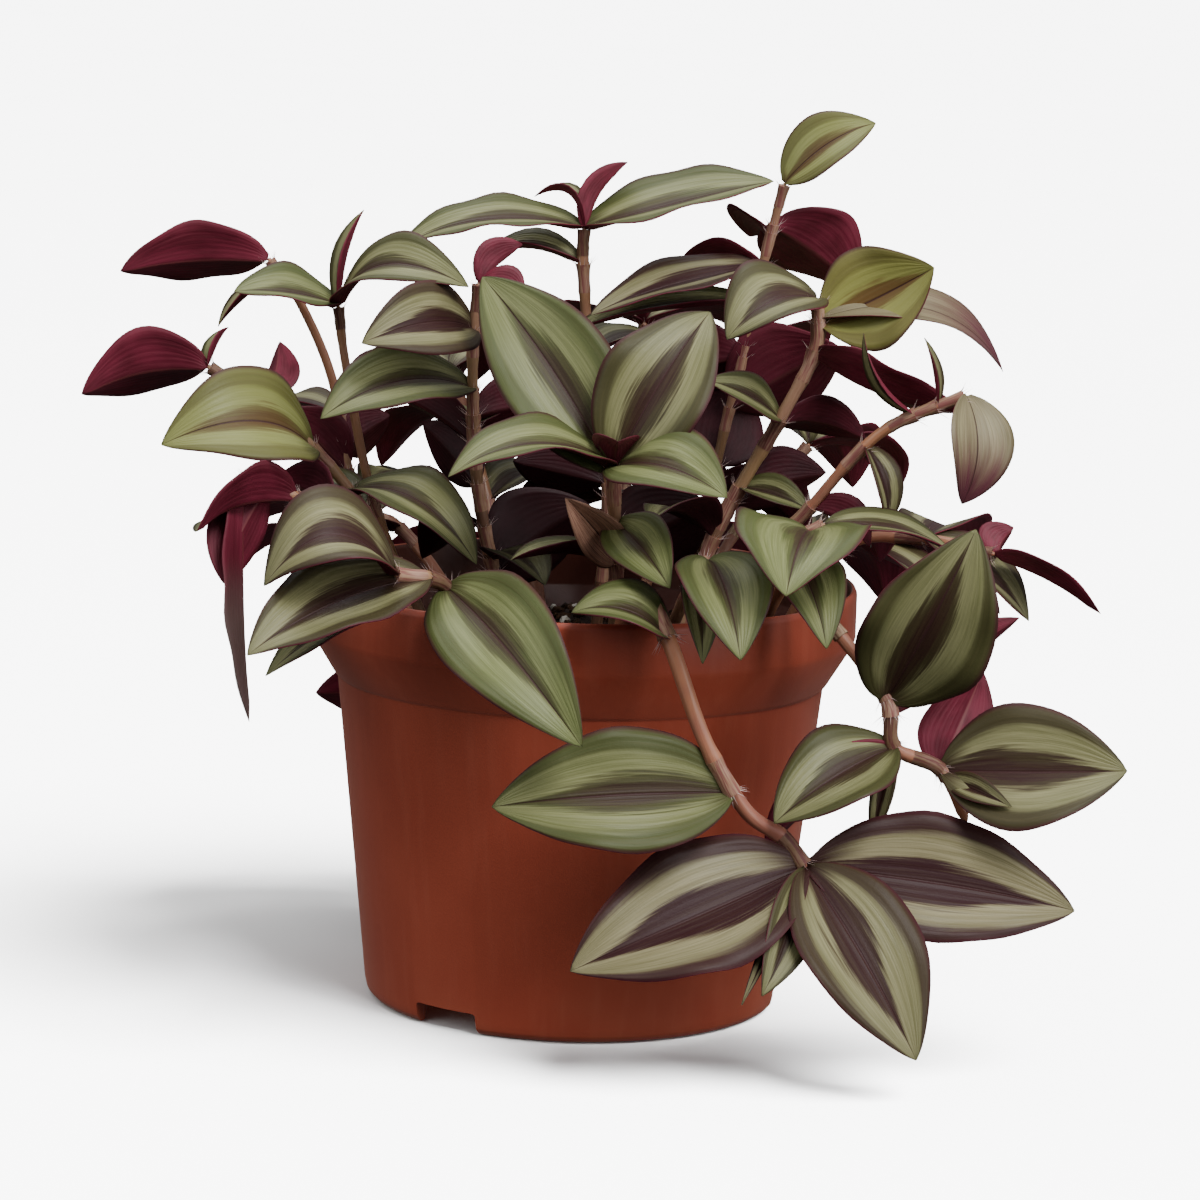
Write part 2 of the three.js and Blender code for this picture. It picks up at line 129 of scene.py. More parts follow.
# Each shoot: stem diameter, how ripe its colours are (below 0 yellowing, 0 fresh
# green, 1 silver and purple), stem nodes from the root up, and its leaves.
# A leaf: stem node it grows from (2.5 is halfway from node 2 to node 3), tip,
# full width, how high its midrib arches over a straight line, where its striped
# face looks, and its own ripeness, WITHERED or FLUSHED where it differs from the shoot's.
SHOOTS = {
    "left_high": {
        "thick": 2.4, "ripe": 0.45,
        "nodes": ((-32, 4, 60), (-36, 4, 80), (-47, 2, 110), (-53, 0, 138), (-55, 0, 151.5)),
        "leaves": (
            (4, (-50, 4, 172), 6, 1.5, LEFT_FRONT),
            (4, (-77, -8, 154.5), 18, 1.5, UP_FRONT, 0.15),
            (4, (-26, -24, 158.5), 17, 8, FRONT_UP, 0.4),
            (2, (-38, 28, 107), 15, 4, UP),
        ),
    },
    "left_arching": {
        "thick": 2.4, "ripe": 0.6,
        "nodes": (
            (-38, -3, 60), (-42, -2, 80), (-52, 6, 112), (-56.5, 9, 134), (-64, 9, 151), (-71, 8, 160.5),
        ),
        "leaves": (
            (5, (-103, 5, 157), 18, 2, (0, 0.75, 0.65)),
            (4.7, (-81, 0, 146), 5, 1, LEFT_FRONT),
            (2.6, (-82, 30, 118), 18, 5, UP),
            (2.3, (-44, 14, 126), 13, 1, BACK),
            (2.1, (-67, 2, 128), 14, 1, BACK),
        ),
    },
    "left_reaching": {
        "thick": 2.8, "ripe": 0.35,
        "nodes": (
            (-28, -14, 60), (-32, -14, 80), (-48, -15, 109),
            (-60, -20, 124), (-70, -22, 133), (-81, -24, 140),
        ),
        "leaves": (
            (5, (-107, -30, 134), 20, 3, (0, 0.75, 0.65)),
            (5, (-77, -20, 148), 5, 1, LEFT_FRONT),
            (2.9, (-89, -40, 125), 25, 8, (0.1, -0.75, 0.65), -0.2),
            (4, (-67, -8, 144), 11, 2, (0.3, 0.8, 0.3)),
            (2.2, (-22.5, -36, 101), 18, 7, UP_FRONT),
            (2, (-76, 10, 108), 18, 5, UP),
        ),
    },
    "left_hanging": {
        "thick": 2.6, "ripe": 0.5,
        "nodes": ((-30, -24, 60), (-33, -25, 80), (-47, -28, 104), (-61, -34, 114), (-73, -38, 118)),
        "leaves": (
            (3, (-80, -54, 109), 20, 3, (0.2, 0.8, 0.55)),
            (4, (-69, -48, 68), 17, 0.5, (-0.9, 0.1, 0.2), FLUSHED),
            (3.5, (-75, -46, 97), 14, 2, (-0.3, 0.85, 0.4)),
            (2.4, (-67, -20, 115), 15, 3, BACK_UP),
            (2, (-74, -8, 96), 18, 4, UP),
        ),
    },
    "rim_left": {
        "thick": 3.4, "ripe": 0.4,
        "nodes": ((-21, -32, 60), (-23, -36, 80), (-28, -50, 98), (-39, -58, 102)),
        "leaves": (
            (3, (-65, -66, 100), 27, 11, (0, -0.5, 0.87), 0.6),
            (2.4, (-67, -80, 88), 22, 3, FRONT_UP, 0.55),
            (2, (1, -84, 72), 24, 8, (-0.25, -0.75, 0.6), 0.05),
            (2.4, (-64, -70, 82), 12, 3, (-0.3, -0.6, 0.7)),
        ),
    },
    "front_rosette": {
        "thick": 3.2, "ripe": 0.35,
        "nodes": ((6, -26, 60), (7, -29, 80), (7, -38, 103), (6, -44, 118), (6, -46, 124)),
        "leaves": (
            (3.7, (-23, -27, 161), 25, 3, (0.1, -0.95, 0.3), 0.15),
            (4, (-28, -62, 123), 19, 6, UP_FRONT, 0.2),
            (4, (25, -37, 156), 24, 5, (-0.15, -0.95, 0.25), 0.5),
            (4, (29, -66, 121), 21, 4, FRONT_UP, 0.1),
            (4, (6.5, -55, 130.5), 10, 1, BACK_UP),
            (2, (-15, -48, 104), 9, 2, UP),
            (2, (-4, -52, 118), 10, 1, (0, -1, 0.2), WITHERED),
            (2.5, (18, -66, 102), 14, 2, (-0.2, -0.7, 0.7), 0.1),
        ),
    },
    "crown_tall": {
        "thick": 2.8, "ripe": 0.45,
        "nodes": ((2, 2, 60), (3, 3, 80), (5, 2, 111), (0, 2, 142), (-2, 0, 162), (-2, 0, 170)),
        "leaves": (
            (5, (-43, -4, 164), 15, 4.5, UP_FRONT, 0.3),
            (5, (38.5, -6, 181.5), 23, 0.5, UP_FRONT, 0.25),
            (5, (7, 4, 184), 8, 2, (-0.8, 0.5, 0.5)),
            (5, (-13, 4, 176), 5, 5, UP),
            (4, (-24, 4, 163), 8, 3, UP_FRONT),
            (3, (-26, 28, 132), 20, 6, UP),
            (3, (24, 28, 136), 20, 6, UP),
            (2, (-14, 36, 95), 20, 4, UP_BACK),
            (1.8, (22, 16, 93), 18, 4, UP_BACK),
            (1.6, (27, -7, 111), 21, 1, (0, 0.95, 0.1)),
            (2.1, (-16, -4, 119), 14, 1, (0, 0.9, 0.3)),
        ),
    },
    "left_inner": {
        "thick": 2.8, "ripe": 0.35,
        "nodes": ((-14, -8, 60), (-16, -9, 80), (-23, -12, 112), (-25, -16, 141), (-24, -18, 159)),
        "leaves": (
            (2.8, (-56, -36, 131), 19, 5, FRONT_UP, 0.25),
            (4, (-15, -14, 167), 10, 1, (0, 0.5, 0.6)),
            (4, (-14, -28, 158), 8, 1, (0.4, 0.8, 0.2)),
            (2.5, (-22, 14, 122), 16, 4, UP),
            (1.6, (-8, -30, 96), 14, 3, UP),
            (1.8, (-36, 14, 94), 16, 4, UP_BACK),
            (3.4, (-47.5, -39, 147.5), 18, 4, FRONT, 0.65),
            (1.5, (1, -5, 110), 22, 2, BACK),
            (2.6, (-8, -6, 132), 14, 1, BACK),
            (2.4, (-48, -6, 135), 10, 2, BACK_UP),
            (2.1, (-36, -4, 127), 13, 1, BACK),
        ),
    },
    "right_high": {
        "thick": 2.4, "ripe": 0.4,
        "nodes": ((22, 2, 60), (24, 3, 80), (28, 5, 115), (34, 4, 145), (37, 0, 163), (41, -3, 181)),
        "leaves": (
            (5, (60, -4, 194.5), 15.5, 2.5, (-0.2, -0.7, 0.7), -0.2),
            (4.5, (58.5, 14, 157), 22, 2, BACK_UP),
            (4.4, (34, 14, 168), 18, 1, BACK_UP),
            (4, (0, -16, 152.5), 16, 1, UP_FRONT, 0.75),
            (4, (19, 12, 161), 13, 2, UP_BACK),
            (3, (50, 36, 136), 22, 6, UP),
            (2, (50, 22, 100), 20, 4, UP_BACK),
            (3.5, (-5, -10, 148), 9, 2, UP_FRONT),
            (2.5, (54, -2, 146), 24, 2, BACK),
            (2.9, (15, 4, 136), 20, 2, BACK),
            (2.1, (33, 12, 136), 18, 1, (0, 0.95, 0.2)),
        ),
    },
    "right_middle": {
        "thick": 3.2, "ripe": 0.35,
        "nodes": (
            (18, -12, 60), (21, -13, 80), (28, -18, 106), (41, -22, 132), (48, -22, 147), (48, -22, 158),
        ),
        "leaves": (
            (5, (28.8, -34, 150), 22, 4.5, (0, -0.5, 0.87), 0.5),
            (4.5, (72, -29, 166), 23, -3, (0.1, -0.9, 0.4), -0.35),
            (4.6, (89, -12, 142.5), 12, 9.5, (0.25, -0.5, 0.85), FLUSHED),
            (4, (79, -36, 136.5), 20, -3, UP_BACK),
            (3, (25, -32, 141), 11, 2, FRONT_UP),
            (2, (14, -42, 112), 14, 4, UP_BACK),
            (1.5, (46, 8, 92), 15, 4, UP_BACK),
            (3, (60, -10, 127), 12, 2, BACK_UP),
            (2.3, (52, -8, 119), 16, 1, BACK),
            (2.4, (48, -26, 113), 8, 1, FRONT_UP),
        ),
    },
    "right_reaching": {
        "thick": 2.8, "ripe": 0.6,
        "nodes": (
            (30, -20, 60), (33, -21, 80), (40, -28, 104), (48, -32, 115),
            (57, -36, 127), (65, -38, 134), (79, -41, 140.5),
        ),
        "leaves": (
            (6, (78.5, -47, 118.5), 16, 4, (0.5, -0.75, 0.45), FLUSHED),
            (5.6, (69.5, -43, 152.5), 3.4, 1, (0.9, -0.4, 0.1)),
            (5.3, (57, -42, 153), 4, 3, (-0.7, -0.3, 0.5)),
            (4.2, (63.5, -41, 112.5), 7, 3, (0.5, -0.8, 0.3)),
            (3, (60, -42, 108), 10, 2, BACK_UP),
        ),
    },
    "rim_right": {
        "thick": 3, "ripe": 0.4,
        "nodes": ((26, -30, 60), (28, -33, 80), (36, -44, 100), (44, -50, 110), (50, -52, 114)),
        "leaves": (
            (3.5, (41, -84, 104), 28, 4, UP_FRONT, 0.1),
            (2.6, (50, -75, 92), 16, 5, UP, 0.15),
            (4, (77, -44, 108), 12, 2, UP_FRONT),
        ),
    },
    "front_low": {
        "thick": 3, "ripe": 0.35,
        "nodes": ((14, -38, 60), (16, -41, 80), (22, -47, 98), (26, -52, 106)),
        "leaves": (
            (3, (32.5, -80, 90), 20, 5, UP_FRONT, 0.15),
            (2.4, (25, -74, 88), 9, 3, UP),
        ),
    },
    "trailing_front": {
        "thick": 3.8, "ripe": 0.85,
        "nodes": (
            (4, -40, 60), (6, -42, 80), (12, -52, 98), (18, -63.5, 91),
            (26, -67, 71), (35, -65, 56), (43, -63, 50), (48, -64, 44),
        ),
        "leaves": (
            (3, (-2, -64, 96), 19, 4, UP_FRONT, 0.15),
            (4.7, (-17, -74, 57), 27, 3, (0, -0.9, 0.45), 0.25),
            (7, (0, -82, 25), 30, 2, (-0.2, -0.85, 0.5), 0.85),
            (7, (104.5, -60, 35.5), 28, 0, (0.1, -0.85, 0.5), 0.9),
            (7, (71, -84, 9), 26, 4, (0.25, -0.9, 0.35), 0.65),
            (7, (39, -86, 22), 11, 1, (0.3, -0.9, 0.3), 0.5),
            (7, (35, -86, 20), 3.6, 0.5, (-0.3, -0.9, 0.3)),
        ),
    },
    "trailing_right": {
        "thick": 3.2, "ripe": 0.6,
        "nodes": (
            (34, -12, 60), (37, -15, 80), (44, -42, 101), (53, -52, 92),
            (64, -54, 78), (66, -54, 68), (76, -52, 63), (82, -51, 52),
        ),
        "leaves": (
            (4, (80, -66, 116), 28, 4, (0.2, -0.97, 0.1), 0.45),
            (5, (41, -68, 54), 21, 2.5, FRONT_UP, 0.4),
            (6, (114, -60, 65.5), 28, 1, (0, -0.85, 0.5), 0.55),
            (6, (85, -40, 82), 16, 3, (0.2, 0.8, 0.3)),
            (6.2, (90, -64, 58), 6, 1, FRONT),
            (4.3, (92, -42, 94), 12, 2, BACK_UP),
            (5, (40, -54, 45), 18, 3, UP_BACK),
            (5, (62, -56, 48), 5, 0.5, FRONT),
        ),
    },
    "right_low": {
        "thick": 2.8, "ripe": 0.6,
        "nodes": ((40, -2, 60), (43, -3, 80), (56, -11, 103), (73, -18, 106.5), (88, -23, 104.5)),
        "leaves": (
            (4, (110, -34, 94), 12, 1.5, UP_BACK),
            (4, (92, -20, 110), 9, 1, BACK_UP),
            (3, (96, -22, 90), 16, 3, (0.2, -0.4, 0.9)),
            (3, (84, 14, 99), 20, 4, UP),
            (2, (66, 16, 96), 18, 5, UP),
        ),
    },
    "back_left_low": {
        "thick": 3, "ripe": 0.6,
        "nodes": ((-24, 16, 60), (-27, 18, 80), (-42, 32, 98), (-56, 44, 99)),
        "leaves": (
            (3, (-84, 54, 86), 22, 6, UP),
            (3, (-62, 80, 80), 22, 6, UP),
            (2, (-68, 24, 88), 18, 5, UP),
            (2.5, (-34, 64, 102), 18, 5, UP),
        ),
    },
    "back_left_high": {
        "thick": 2.8, "ripe": 0.5,
        "nodes": ((-14, 12, 60), (-16, 14, 80), (-22, 24, 106), (-28, 34, 124), (-31, 36, 134)),
        "leaves": (
            (4, (-56, 48, 124), 20, 6, UP),
            (4, (-38, 70, 118), 22, 6, UP),
            (4, (-10, 52, 132), 18, 5, UP),
            (3, (-48, 62, 108), 18, 5, UP),
            (2, (-4, 46, 106), 18, 5, UP),
        ),
    },
    "back_centre_high": {
        "thick": 2.8, "ripe": 0.5,
        "nodes": ((5, 18, 60), (6, 20, 80), (9, 32, 112), (12, 38, 136), (12, 38, 146)),
        "leaves": (
            (4, (-12, 66, 134), 20, 6, UP),
            (4, (40, 56, 136), 20, 6, UP),
            (4, (14, 30, 156), 7, 1, UP_FRONT),
            (3, (12, 78, 114), 22, 6, UP),
            (2, (34, 50, 104), 18, 5, UP),
        ),
    },
    "back_right_high": {
        "thick": 2.8, "ripe": 0.5,
        "nodes": ((20, 14, 60), (23, 16, 80), (36, 26, 104), (50, 32, 120)),
        "leaves": (
            (3, (70, 46, 106), 22, 6, UP),
            (3, (62, 64, 106), 22, 6, UP),
            (3, (46, 42, 136), 8, 1, UP_FRONT),
        ),
    },
    "back_right_low": {
        "thick": 3, "ripe": 0.6,
        "nodes": ((30, 14, 60), (34, 17, 80), (46, 32, 97), (60, 42, 95)),
        "leaves": (
            (3, (96, 46, 80), 24, 6, UP),
            (3, (72, 76, 76), 22, 6, UP),
            (2.3, (42, 68, 88), 20, 5, UP),
            (2.5, (84, 18, 84), 18, 4, UP),
        ),
    },
    "back_centre_low": {
        "thick": 3, "ripe": 0.6,
        "nodes": ((12, 32, 60), (13, 36, 80), (18, 52, 97), (20, 64, 95)),
        "leaves": (
            (3, (-6, 94, 82), 20, 6, UP),
            (3, (40, 92, 76), 20, 6, UP),
            (3, (18, 102, 88), 10, 3, UP),
        ),
    },
    "trailing_back": {
        "thick": 3.4, "ripe": 0.7,
        "nodes": ((-8, 32, 60), (-10, 36, 80), (-15, 53, 100), (-19, 66, 89), (-23, 68, 66), (-24, 70, 48)),
        "leaves": (
            (5, (-63, 72, 52), 26, 5, (-0.1, 0.9, 0.4)),
            (5, (14, 88, 28), 26, 5, (0.1, 0.8, 0.6)),
            (5, (-32, 84, 8), 24, 5, (-0.1, 0.9, 0.4)),
            (4, (22, 80, 60), 24, 4, BACK_UP),
            (3, (-58, 70, 74), 20, 4, (-0.1, 0.6, 0.8)),
        ),
    },
}


def paint(colour):
    """The light values that a shader takes for (red, green, blue) from 0 to 255."""
    def light(level):
        level /= 255
        return level / 12.92 if level <= 0.04045 else ((level + 0.055) / 1.055) ** 2.4
    return (*map(light, colour), 1)


class Signal:
    """A number that varies over a surface."""

    def __init__(self, finish, socket):
        self.finish = finish
        self.socket = socket

    def _maths(self, operation, *values):
        return Signal(self.finish, self.finish.node(
            "ShaderNodeMath", {"operation": operation}, dict(enumerate(values))).outputs[0])

    def __add__(self, other):
        return self._maths("ADD", self, other)

    __radd__ = __add__

    def __sub__(self, other):
        return self._maths("SUBTRACT", self, other)

    def __rsub__(self, other):
        return self._maths("SUBTRACT", other, self)

    def __mul__(self, other):
        return self._maths("MULTIPLY", self, other)

    def __pow__(self, other):
        return self._maths("POWER", self, other)

    def __abs__(self):
        return self._maths("ABSOLUTE", self)

    def wave(self):
        return self._maths("SINE", self)

    def rise(self, start, end):
        """0 before start, 1 after end, and smooth in between."""
        made = self.finish.node("ShaderNodeMapRange", {"interpolation_type": "SMOOTHSTEP"}, {
            "Value": self, "From Min": start, "From Max": end})
        return Signal(self.finish, made.outputs[0])


class Finish:
    """A material, from its nodes."""

    def __init__(self, name, **settings):
        self.material = bpy.data.materials.new(name)
        self.material.use_nodes = True
        self.tree = self.material.node_tree
        self.surface = self.tree.nodes["Principled BSDF"]
        for socket, value in settings.items():
            self.surface.inputs[socket.replace("_", " ")].default_value = value

    def node(self, kind, settings=None, inputs=None):
        made = self.tree.nodes.new(kind)
        for key, value in (settings or {}).items():
            setattr(made, key, value)
        for key, value in (inputs or {}).items():
            value = value.socket if isinstance(value, Signal) else value
            if isinstance(value, bpy.types.NodeSocket):
                self.tree.links.new(value, made.inputs[key])
            else:
                made.inputs[key].default_value = value
        return made

    def place(self):
        return self.node("ShaderNodeTexCoord").outputs["Object"]

    def stored(self, name):
        made = self.node("ShaderNodeAttribute", {"attribute_name": name})
        return Signal(self, made.outputs["Fac"])

    def fibres(self, scale, detail):
        """Streaks that run along a stalk or sheath, finer across it with a larger scale."""
        along = self.node("ShaderNodeAttribute", {"attribute_name": "fibre"})
        return self.noise(along.outputs["Vector"], scale, detail)

    def point(self, x, y, z):
        return self.node("ShaderNodeCombineXYZ", None, {0: x, 1: y, 2: z}).outputs[0]

    def parts(self, vector):
        made = self.node("ShaderNodeSeparateXYZ", None, {0: vector})
        return [Signal(self, socket) for socket in made.outputs]

    def noise(self, vector, scale, detail=3, roughness=0.55):
        made = self.node("ShaderNodeTexNoise", None, {
            "Vector": vector, "Scale": scale, "Detail": detail, "Roughness": roughness})
        return Signal(self, made.outputs["Fac"])

    def blend(self, share, first, second):
        """A colour between two, each a made one or (red, green, blue)."""
        first, second = (paint(c) if isinstance(c, tuple) else c for c in (first, second))
        # 6, 7 and 2 are this node's sockets for colours
        made = self.node("ShaderNodeMix", {"data_type": "RGBA"}, {0: share, 6: first, 7: second})
        return made.outputs[2]

    def lay(self, colour=None, roughness=None, height=None, depth=MM):
        """Lays the colour, roughness and relief on the surface. Relief is height times depth."""
        if colour is not None:
            self.tree.links.new(colour, self.surface.inputs["Base Color"])
        if roughness is not None:
            self.tree.links.new(roughness.socket, self.surface.inputs["Roughness"])
        if height is not None:
            bump = self.node("ShaderNodeBump", None, {"Strength": 1.0, "Distance": depth, "Height": height})
            self.tree.links.new(bump.outputs[0], self.surface.inputs["Normal"])
        return self.material


def leaf_reading(finish):
    """Across a leaf from -1 to 1, along it from 0 to 1, its ripeness, and its own place in the noise."""
    uv = finish.node("ShaderNodeUVMap", {"uv_map": "leaf"}).outputs[0]
    across, along, _ = finish.parts(uv)
    return across * 2 - 1, along, finish.stored("ripeness"), finish.stored("lot") * LOT_SPACING


def painted_shade_among_stems(finish, start, end):
    """Painted shade: 1 near the pot's axis and low among the stems, 0 from a radius of end metres and at
    the crown.
    """
    low, crown = 0.11, 0.168
    x, y, z = finish.parts(finish.place())
    return (1 - (x * x + y * y).rise(start ** 2, end ** 2)) * (1 - z.rise(low, crown))


def veins(across):
    """Fine ridges along a leaf, about fifteen of them side by side."""
    return (across * 46).wave() * 0.5 + 0.5


def silver_paint(finish, bright, ripeness, yellowed):
    """The silver bands: grey-green while fresh, paler and warmer when ripe."""
    fresh = finish.blend(bright, (84, 94, 48), (133, 139, 91))
    fresh = finish.blend(yellowed * 0.8, fresh, (148, 146, 78))
    ripe = finish.blend(bright, (104, 97, 66), (156, 146, 114))
    return finish.blend(ripeness, fresh, ripe)


def ground_paint(finish, side, core, cloud, streak, ripeness, yellowed):
    """What lies between and beside the silver bands: green while fresh, dark red when ripe."""
    middle = finish.blend(cloud.rise(0.35, 0.65), (80, 88, 48), (72, 72, 42))
    middle = finish.blend(core * 0.85, middle, (52, 34, 26))
    middle = finish.blend(ripeness.rise(0, 0.8), middle, (48, 17, 22))
    middle = finish.blend(yellowed * 0.85, middle, (112, 84, 46))
    margin = finish.blend(ripeness.rise(0.1, 0.9), (76, 84, 44), (56, 30, 30))
    margin = finish.blend(yellowed * 0.7, margin, (126, 118, 62))
    dark = finish.blend(side.rise(0.4, 0.6), middle, margin)
    rim = finish.blend(side.rise(0.9, 1.0), dark, (70, 30, 38))
    return finish.blend(streak.rise(0.35, 0.75) * (0.24 - ripeness * 0.14), rim, (98, 86, 54))


def striped_face():
    finish = Finish("striped_leaf_face", Specular_IOR_Level=0.25)
    across, along, ripeness, offset = leaf_reading(finish)
    side = abs(across)
    feather = finish.noise(finish.point(across * 9 + offset, along * 1.6 + offset, offset), 1.0, 3, 0.6)
    streak = finish.noise(finish.point(across * 34 + offset, along * 3.2, offset), 1.0, 3, 0.6)
    cloud = finish.noise(finish.point(across * 1.6 + offset, along * 3.0, offset), 1.0, 2)
    drift = finish.noise(finish.point(offset, along * 1.4, offset), 1.0, 1) - 0.5
    ragged = (feather - 0.5) * 0.34 + (streak - 0.5) * 0.22
    inner = abs(across + drift * 0.3) + ragged
    # How far from the midrib the silver starts and ends
    middle = 0.07 + (1 - abs(along * 2 - 0.75) ** 1.9) * (0.21 + ripeness * 0.11)
    margin = 0.54 + along * 0.15 + ripeness * 0.08
    silver = inner.rise(middle - 0.07, middle + 0.08)
    silver = silver * (1 - (side + ragged * 0.7).rise(margin - 0.06, margin + 0.1))
    silver = silver * (along + (feather - 0.5) * 0.16).rise(0.02, 0.14 + ripeness * 0.1)
    flush = ripeness.rise(1, FLUSHED)
    silver = silver + (1 - silver) * flush * 0.8
    bright = streak.rise(0.25, 0.75) * 0.6 + (1 - inner.rise(middle, middle + 0.4)) * 0.3 + cloud * 0.2
    yellowed = 1 - ripeness.rise(-0.4, 0)
    bands = silver_paint(finish, bright, ripeness, yellowed)
    to_tip = (along + (feather - 0.5) * 0.5).rise(0.3, 0.9)
    bands = finish.blend(flush * to_tip, bands, (96, 52, 60))
    core = (1 - inner.rise(middle * 0.3, middle * 0.7)) * (1 - along.rise(0.45, 1))
    ground = ground_paint(finish, side, core, cloud, streak, ripeness, yellowed)
    colour = finish.blend(silver, ground, bands)
    withered = finish.blend(streak.rise(0.3, 0.7), (112, 76, 62), (170, 130, 108))
    colour = finish.blend(ripeness.rise(WITHERED, WITHERED + 0.4), withered, colour)
    off_rib = side.rise(0, 0.035)
    colour = finish.blend(off_rib, (60, 34, 34), colour)
    # Painted shade: the striped faces of leaves near the pot's axis and low among the stems are darkened.
    colour = finish.blend(painted_shade_among_stems(finish, 0.015, 0.05) * 0.7, colour, (34, 28, 18))
    grain = finish.noise(finish.place(), 1500, 2)
    height = veins(across) * 0.35 + streak * 0.5 + grain * 0.25 - (1 - off_rib) * 1.2
    roughness = 0.5 - silver * 0.1 + (streak - 0.5) * 0.16
    return finish.lay(colour, roughness, height, LEAF_RELIEF * MM)


def purple_face():
    finish = Finish("purple_leaf_face", Specular_IOR_Level=0.3)
    across, along, ripeness, offset = leaf_reading(finish)
    streak = finish.noise(finish.point(across * 26 + offset, along * 2.6, offset), 1.0, 3, 0.6)
    cloud = finish.noise(finish.point(across * 2 + offset, along * 3, offset), 1.0, 2)
    deep = finish.blend(cloud.rise(0.3, 0.7), (92, 24, 40), (120, 38, 58))
    colour = finish.blend(streak.rise(0.4, 0.8) * 0.35, deep, (134, 62, 74))
    rib = 1 - abs(across).rise(0.01, 0.07)
    colour = finish.blend(rib * 0.5, colour, (128, 72, 70))
    flush = ripeness.rise(1, FLUSHED) * along.rise(0.3, 0.65)
    colour = finish.blend(flush, colour, (126, 104, 100))
    # Painted shade: the purple faces of leaves near the pot's axis and low among the stems are darkened
    # nearly to black.
    colour = finish.blend(painted_shade_among_stems(finish, 0.02, 0.08) * 0.9, colour, (24, 6, 9))
    colour = finish.blend(ripeness.rise(WITHERED, WITHERED + 0.4), (150, 112, 92), colour)
    height = veins(across) * 0.25 + streak * 0.35
    roughness = 0.55 + (streak - 0.5) * 0.2
    return finish.lay(colour, roughness, height, LEAF_RELIEF * MM)


def stem_skin():
    finish = Finish("stem_skin", Specular_IOR_Level=0.45)
    ripeness = finish.stored("ripeness")
    blotch = finish.noise(finish.place(), 60, 3)
    fibre = finish.fibres(1.3, 2)
    green = finish.blend(blotch.rise(0.3, 0.7), (138, 128, 86), (156, 126, 104))
    rosy = finish.blend(blotch.rise(0.35, 0.7), (182, 122, 90), (156, 98, 82))
    colour = finish.blend(ripeness.rise(0.1, 0.7), green, rosy)
    colour = finish.blend(fibre.rise(0.45, 0.75) * 0.35, colour, (188, 146, 120))
    # Painted shade: stalks near the pot's axis and low among the stems are darkened.
    colour = finish.blend(painted_shade_among_stems(finish, 0.015, 0.05) * 0.6, colour, (66, 42, 32))
    roughness = 0.42 + (blotch - 0.5) * 0.2
    return finish.lay(colour, roughness, fibre, 0.15 * MM)


def sheath_skin():
    finish = Finish("leaf_sheath", Specular_IOR_Level=0.4, Roughness=0.55)
    fibre = finish.fibres(1.9, 2)
    blotch = finish.noise(finish.place(), 220, 2)
    pale = finish.blend(blotch.rise(0.3, 0.7), (178, 140, 120), (158, 124, 94))
    colour = finish.blend(fibre.rise(0.36, 0.6), (136, 82, 76), pale)
    return finish.lay(colour, None, fibre, 0.15 * MM)


def dry_sheath():
    finish = Finish("dry_sheath", Specular_IOR_Level=0.3, Roughness=0.75)
    fibre = finish.fibres(1.2, 3)
    colour = finish.blend(fibre.rise(0.35, 0.65), (112, 84, 62), (186, 158, 130))
    return finish.lay(colour, None, fibre, 0.3 * MM)


def fine_hair():
    finish = Finish("fine_hair", Specular_IOR_Level=0.3, Roughness=0.6)
    tint = finish.noise(finish.place(), 900, 1)
    return finish.lay(finish.blend(tint, (226, 208, 200), (204, 170, 168)))


def pot_plastic():
    finish = Finish("clay_coloured_plastic", Specular_IOR_Level=0.5, Sheen_Weight=0.22, Sheen_Roughness=0.4,
                    Sheen_Tint=paint((255, 214, 200)))
    place = finish.place()
    x, y, z = finish.parts(place)
    drawn = finish.noise(finish.point(x, y, z * 0.05), 260, 3)
    cloud = finish.noise(place, 26, 3)
    grain = finish.noise(place, 2600, 2)
    body = finish.blend(cloud.rise(0.3, 0.7), (178, 80, 58), (188, 88, 64))
    body = finish.blend(drawn.rise(0.45, 0.75) * 0.3, body, (198, 102, 78))
    dust = (1 - z.rise(0.0, 0.02)) * cloud.rise(0.4, 0.7)
    colour = finish.blend(dust * 0.2, body, (190, 122, 92))
    # Painted shade: the pot's inside is darkened nearly to black.
    colour = finish.blend(finish.stored("painted_inner_shade") * (0.75 + cloud * 0.25), colour, (40, 26, 20))
    roughness = 0.4 + (cloud - 0.5) * 0.14 + (drawn - 0.5) * 0.1
    return finish.lay(colour, roughness, grain * 0.5 + drawn * 0.8, 0.05 * MM)


def soil_skin():
    finish = Finish("potting_soil", Specular_IOR_Level=0.2)
    place = finish.place()
    clod = finish.noise(place, 320, 5, 0.65)
    cloud = finish.noise(place, 60, 3)
    dark = finish.blend(clod.rise(0.3, 0.7), (24, 17, 13), (58, 41, 31))
    colour = finish.blend(cloud.rise(0.4, 0.75) * 0.4, dark, (74, 56, 42))
    return finish.lay(colour, 0.95 - clod * 0.2, clod, 1.2 * MM)


def crumb_skin():
    finish = Finish("soil_crumbs", Specular_IOR_Level=0.2)
    place = finish.place()
    tint = finish.noise(place, 260, 2)
    grain = finish.noise(place, 1800, 3)
    brown = finish.blend(tint.rise(0.3, 0.7), (32, 22, 16), (82, 58, 40))
    colour = finish.blend(grain.rise(0.5, 0.8) * 0.4, brown, (104, 80, 58))
    return finish.lay(colour, 0.95 - grain * 0.2, grain, 0.3 * MM)


def perlite_skin():
    finish = Finish("perlite", Specular_IOR_Level=0.3)
    pit = finish.noise(finish.place(), 1600, 3)
    colour = finish.blend(pit.rise(0.3, 0.7), (190, 182, 168), (232, 228, 218))
    return finish.lay(colour, 0.85 + pit * 0.1, pit, 0.4 * MM)


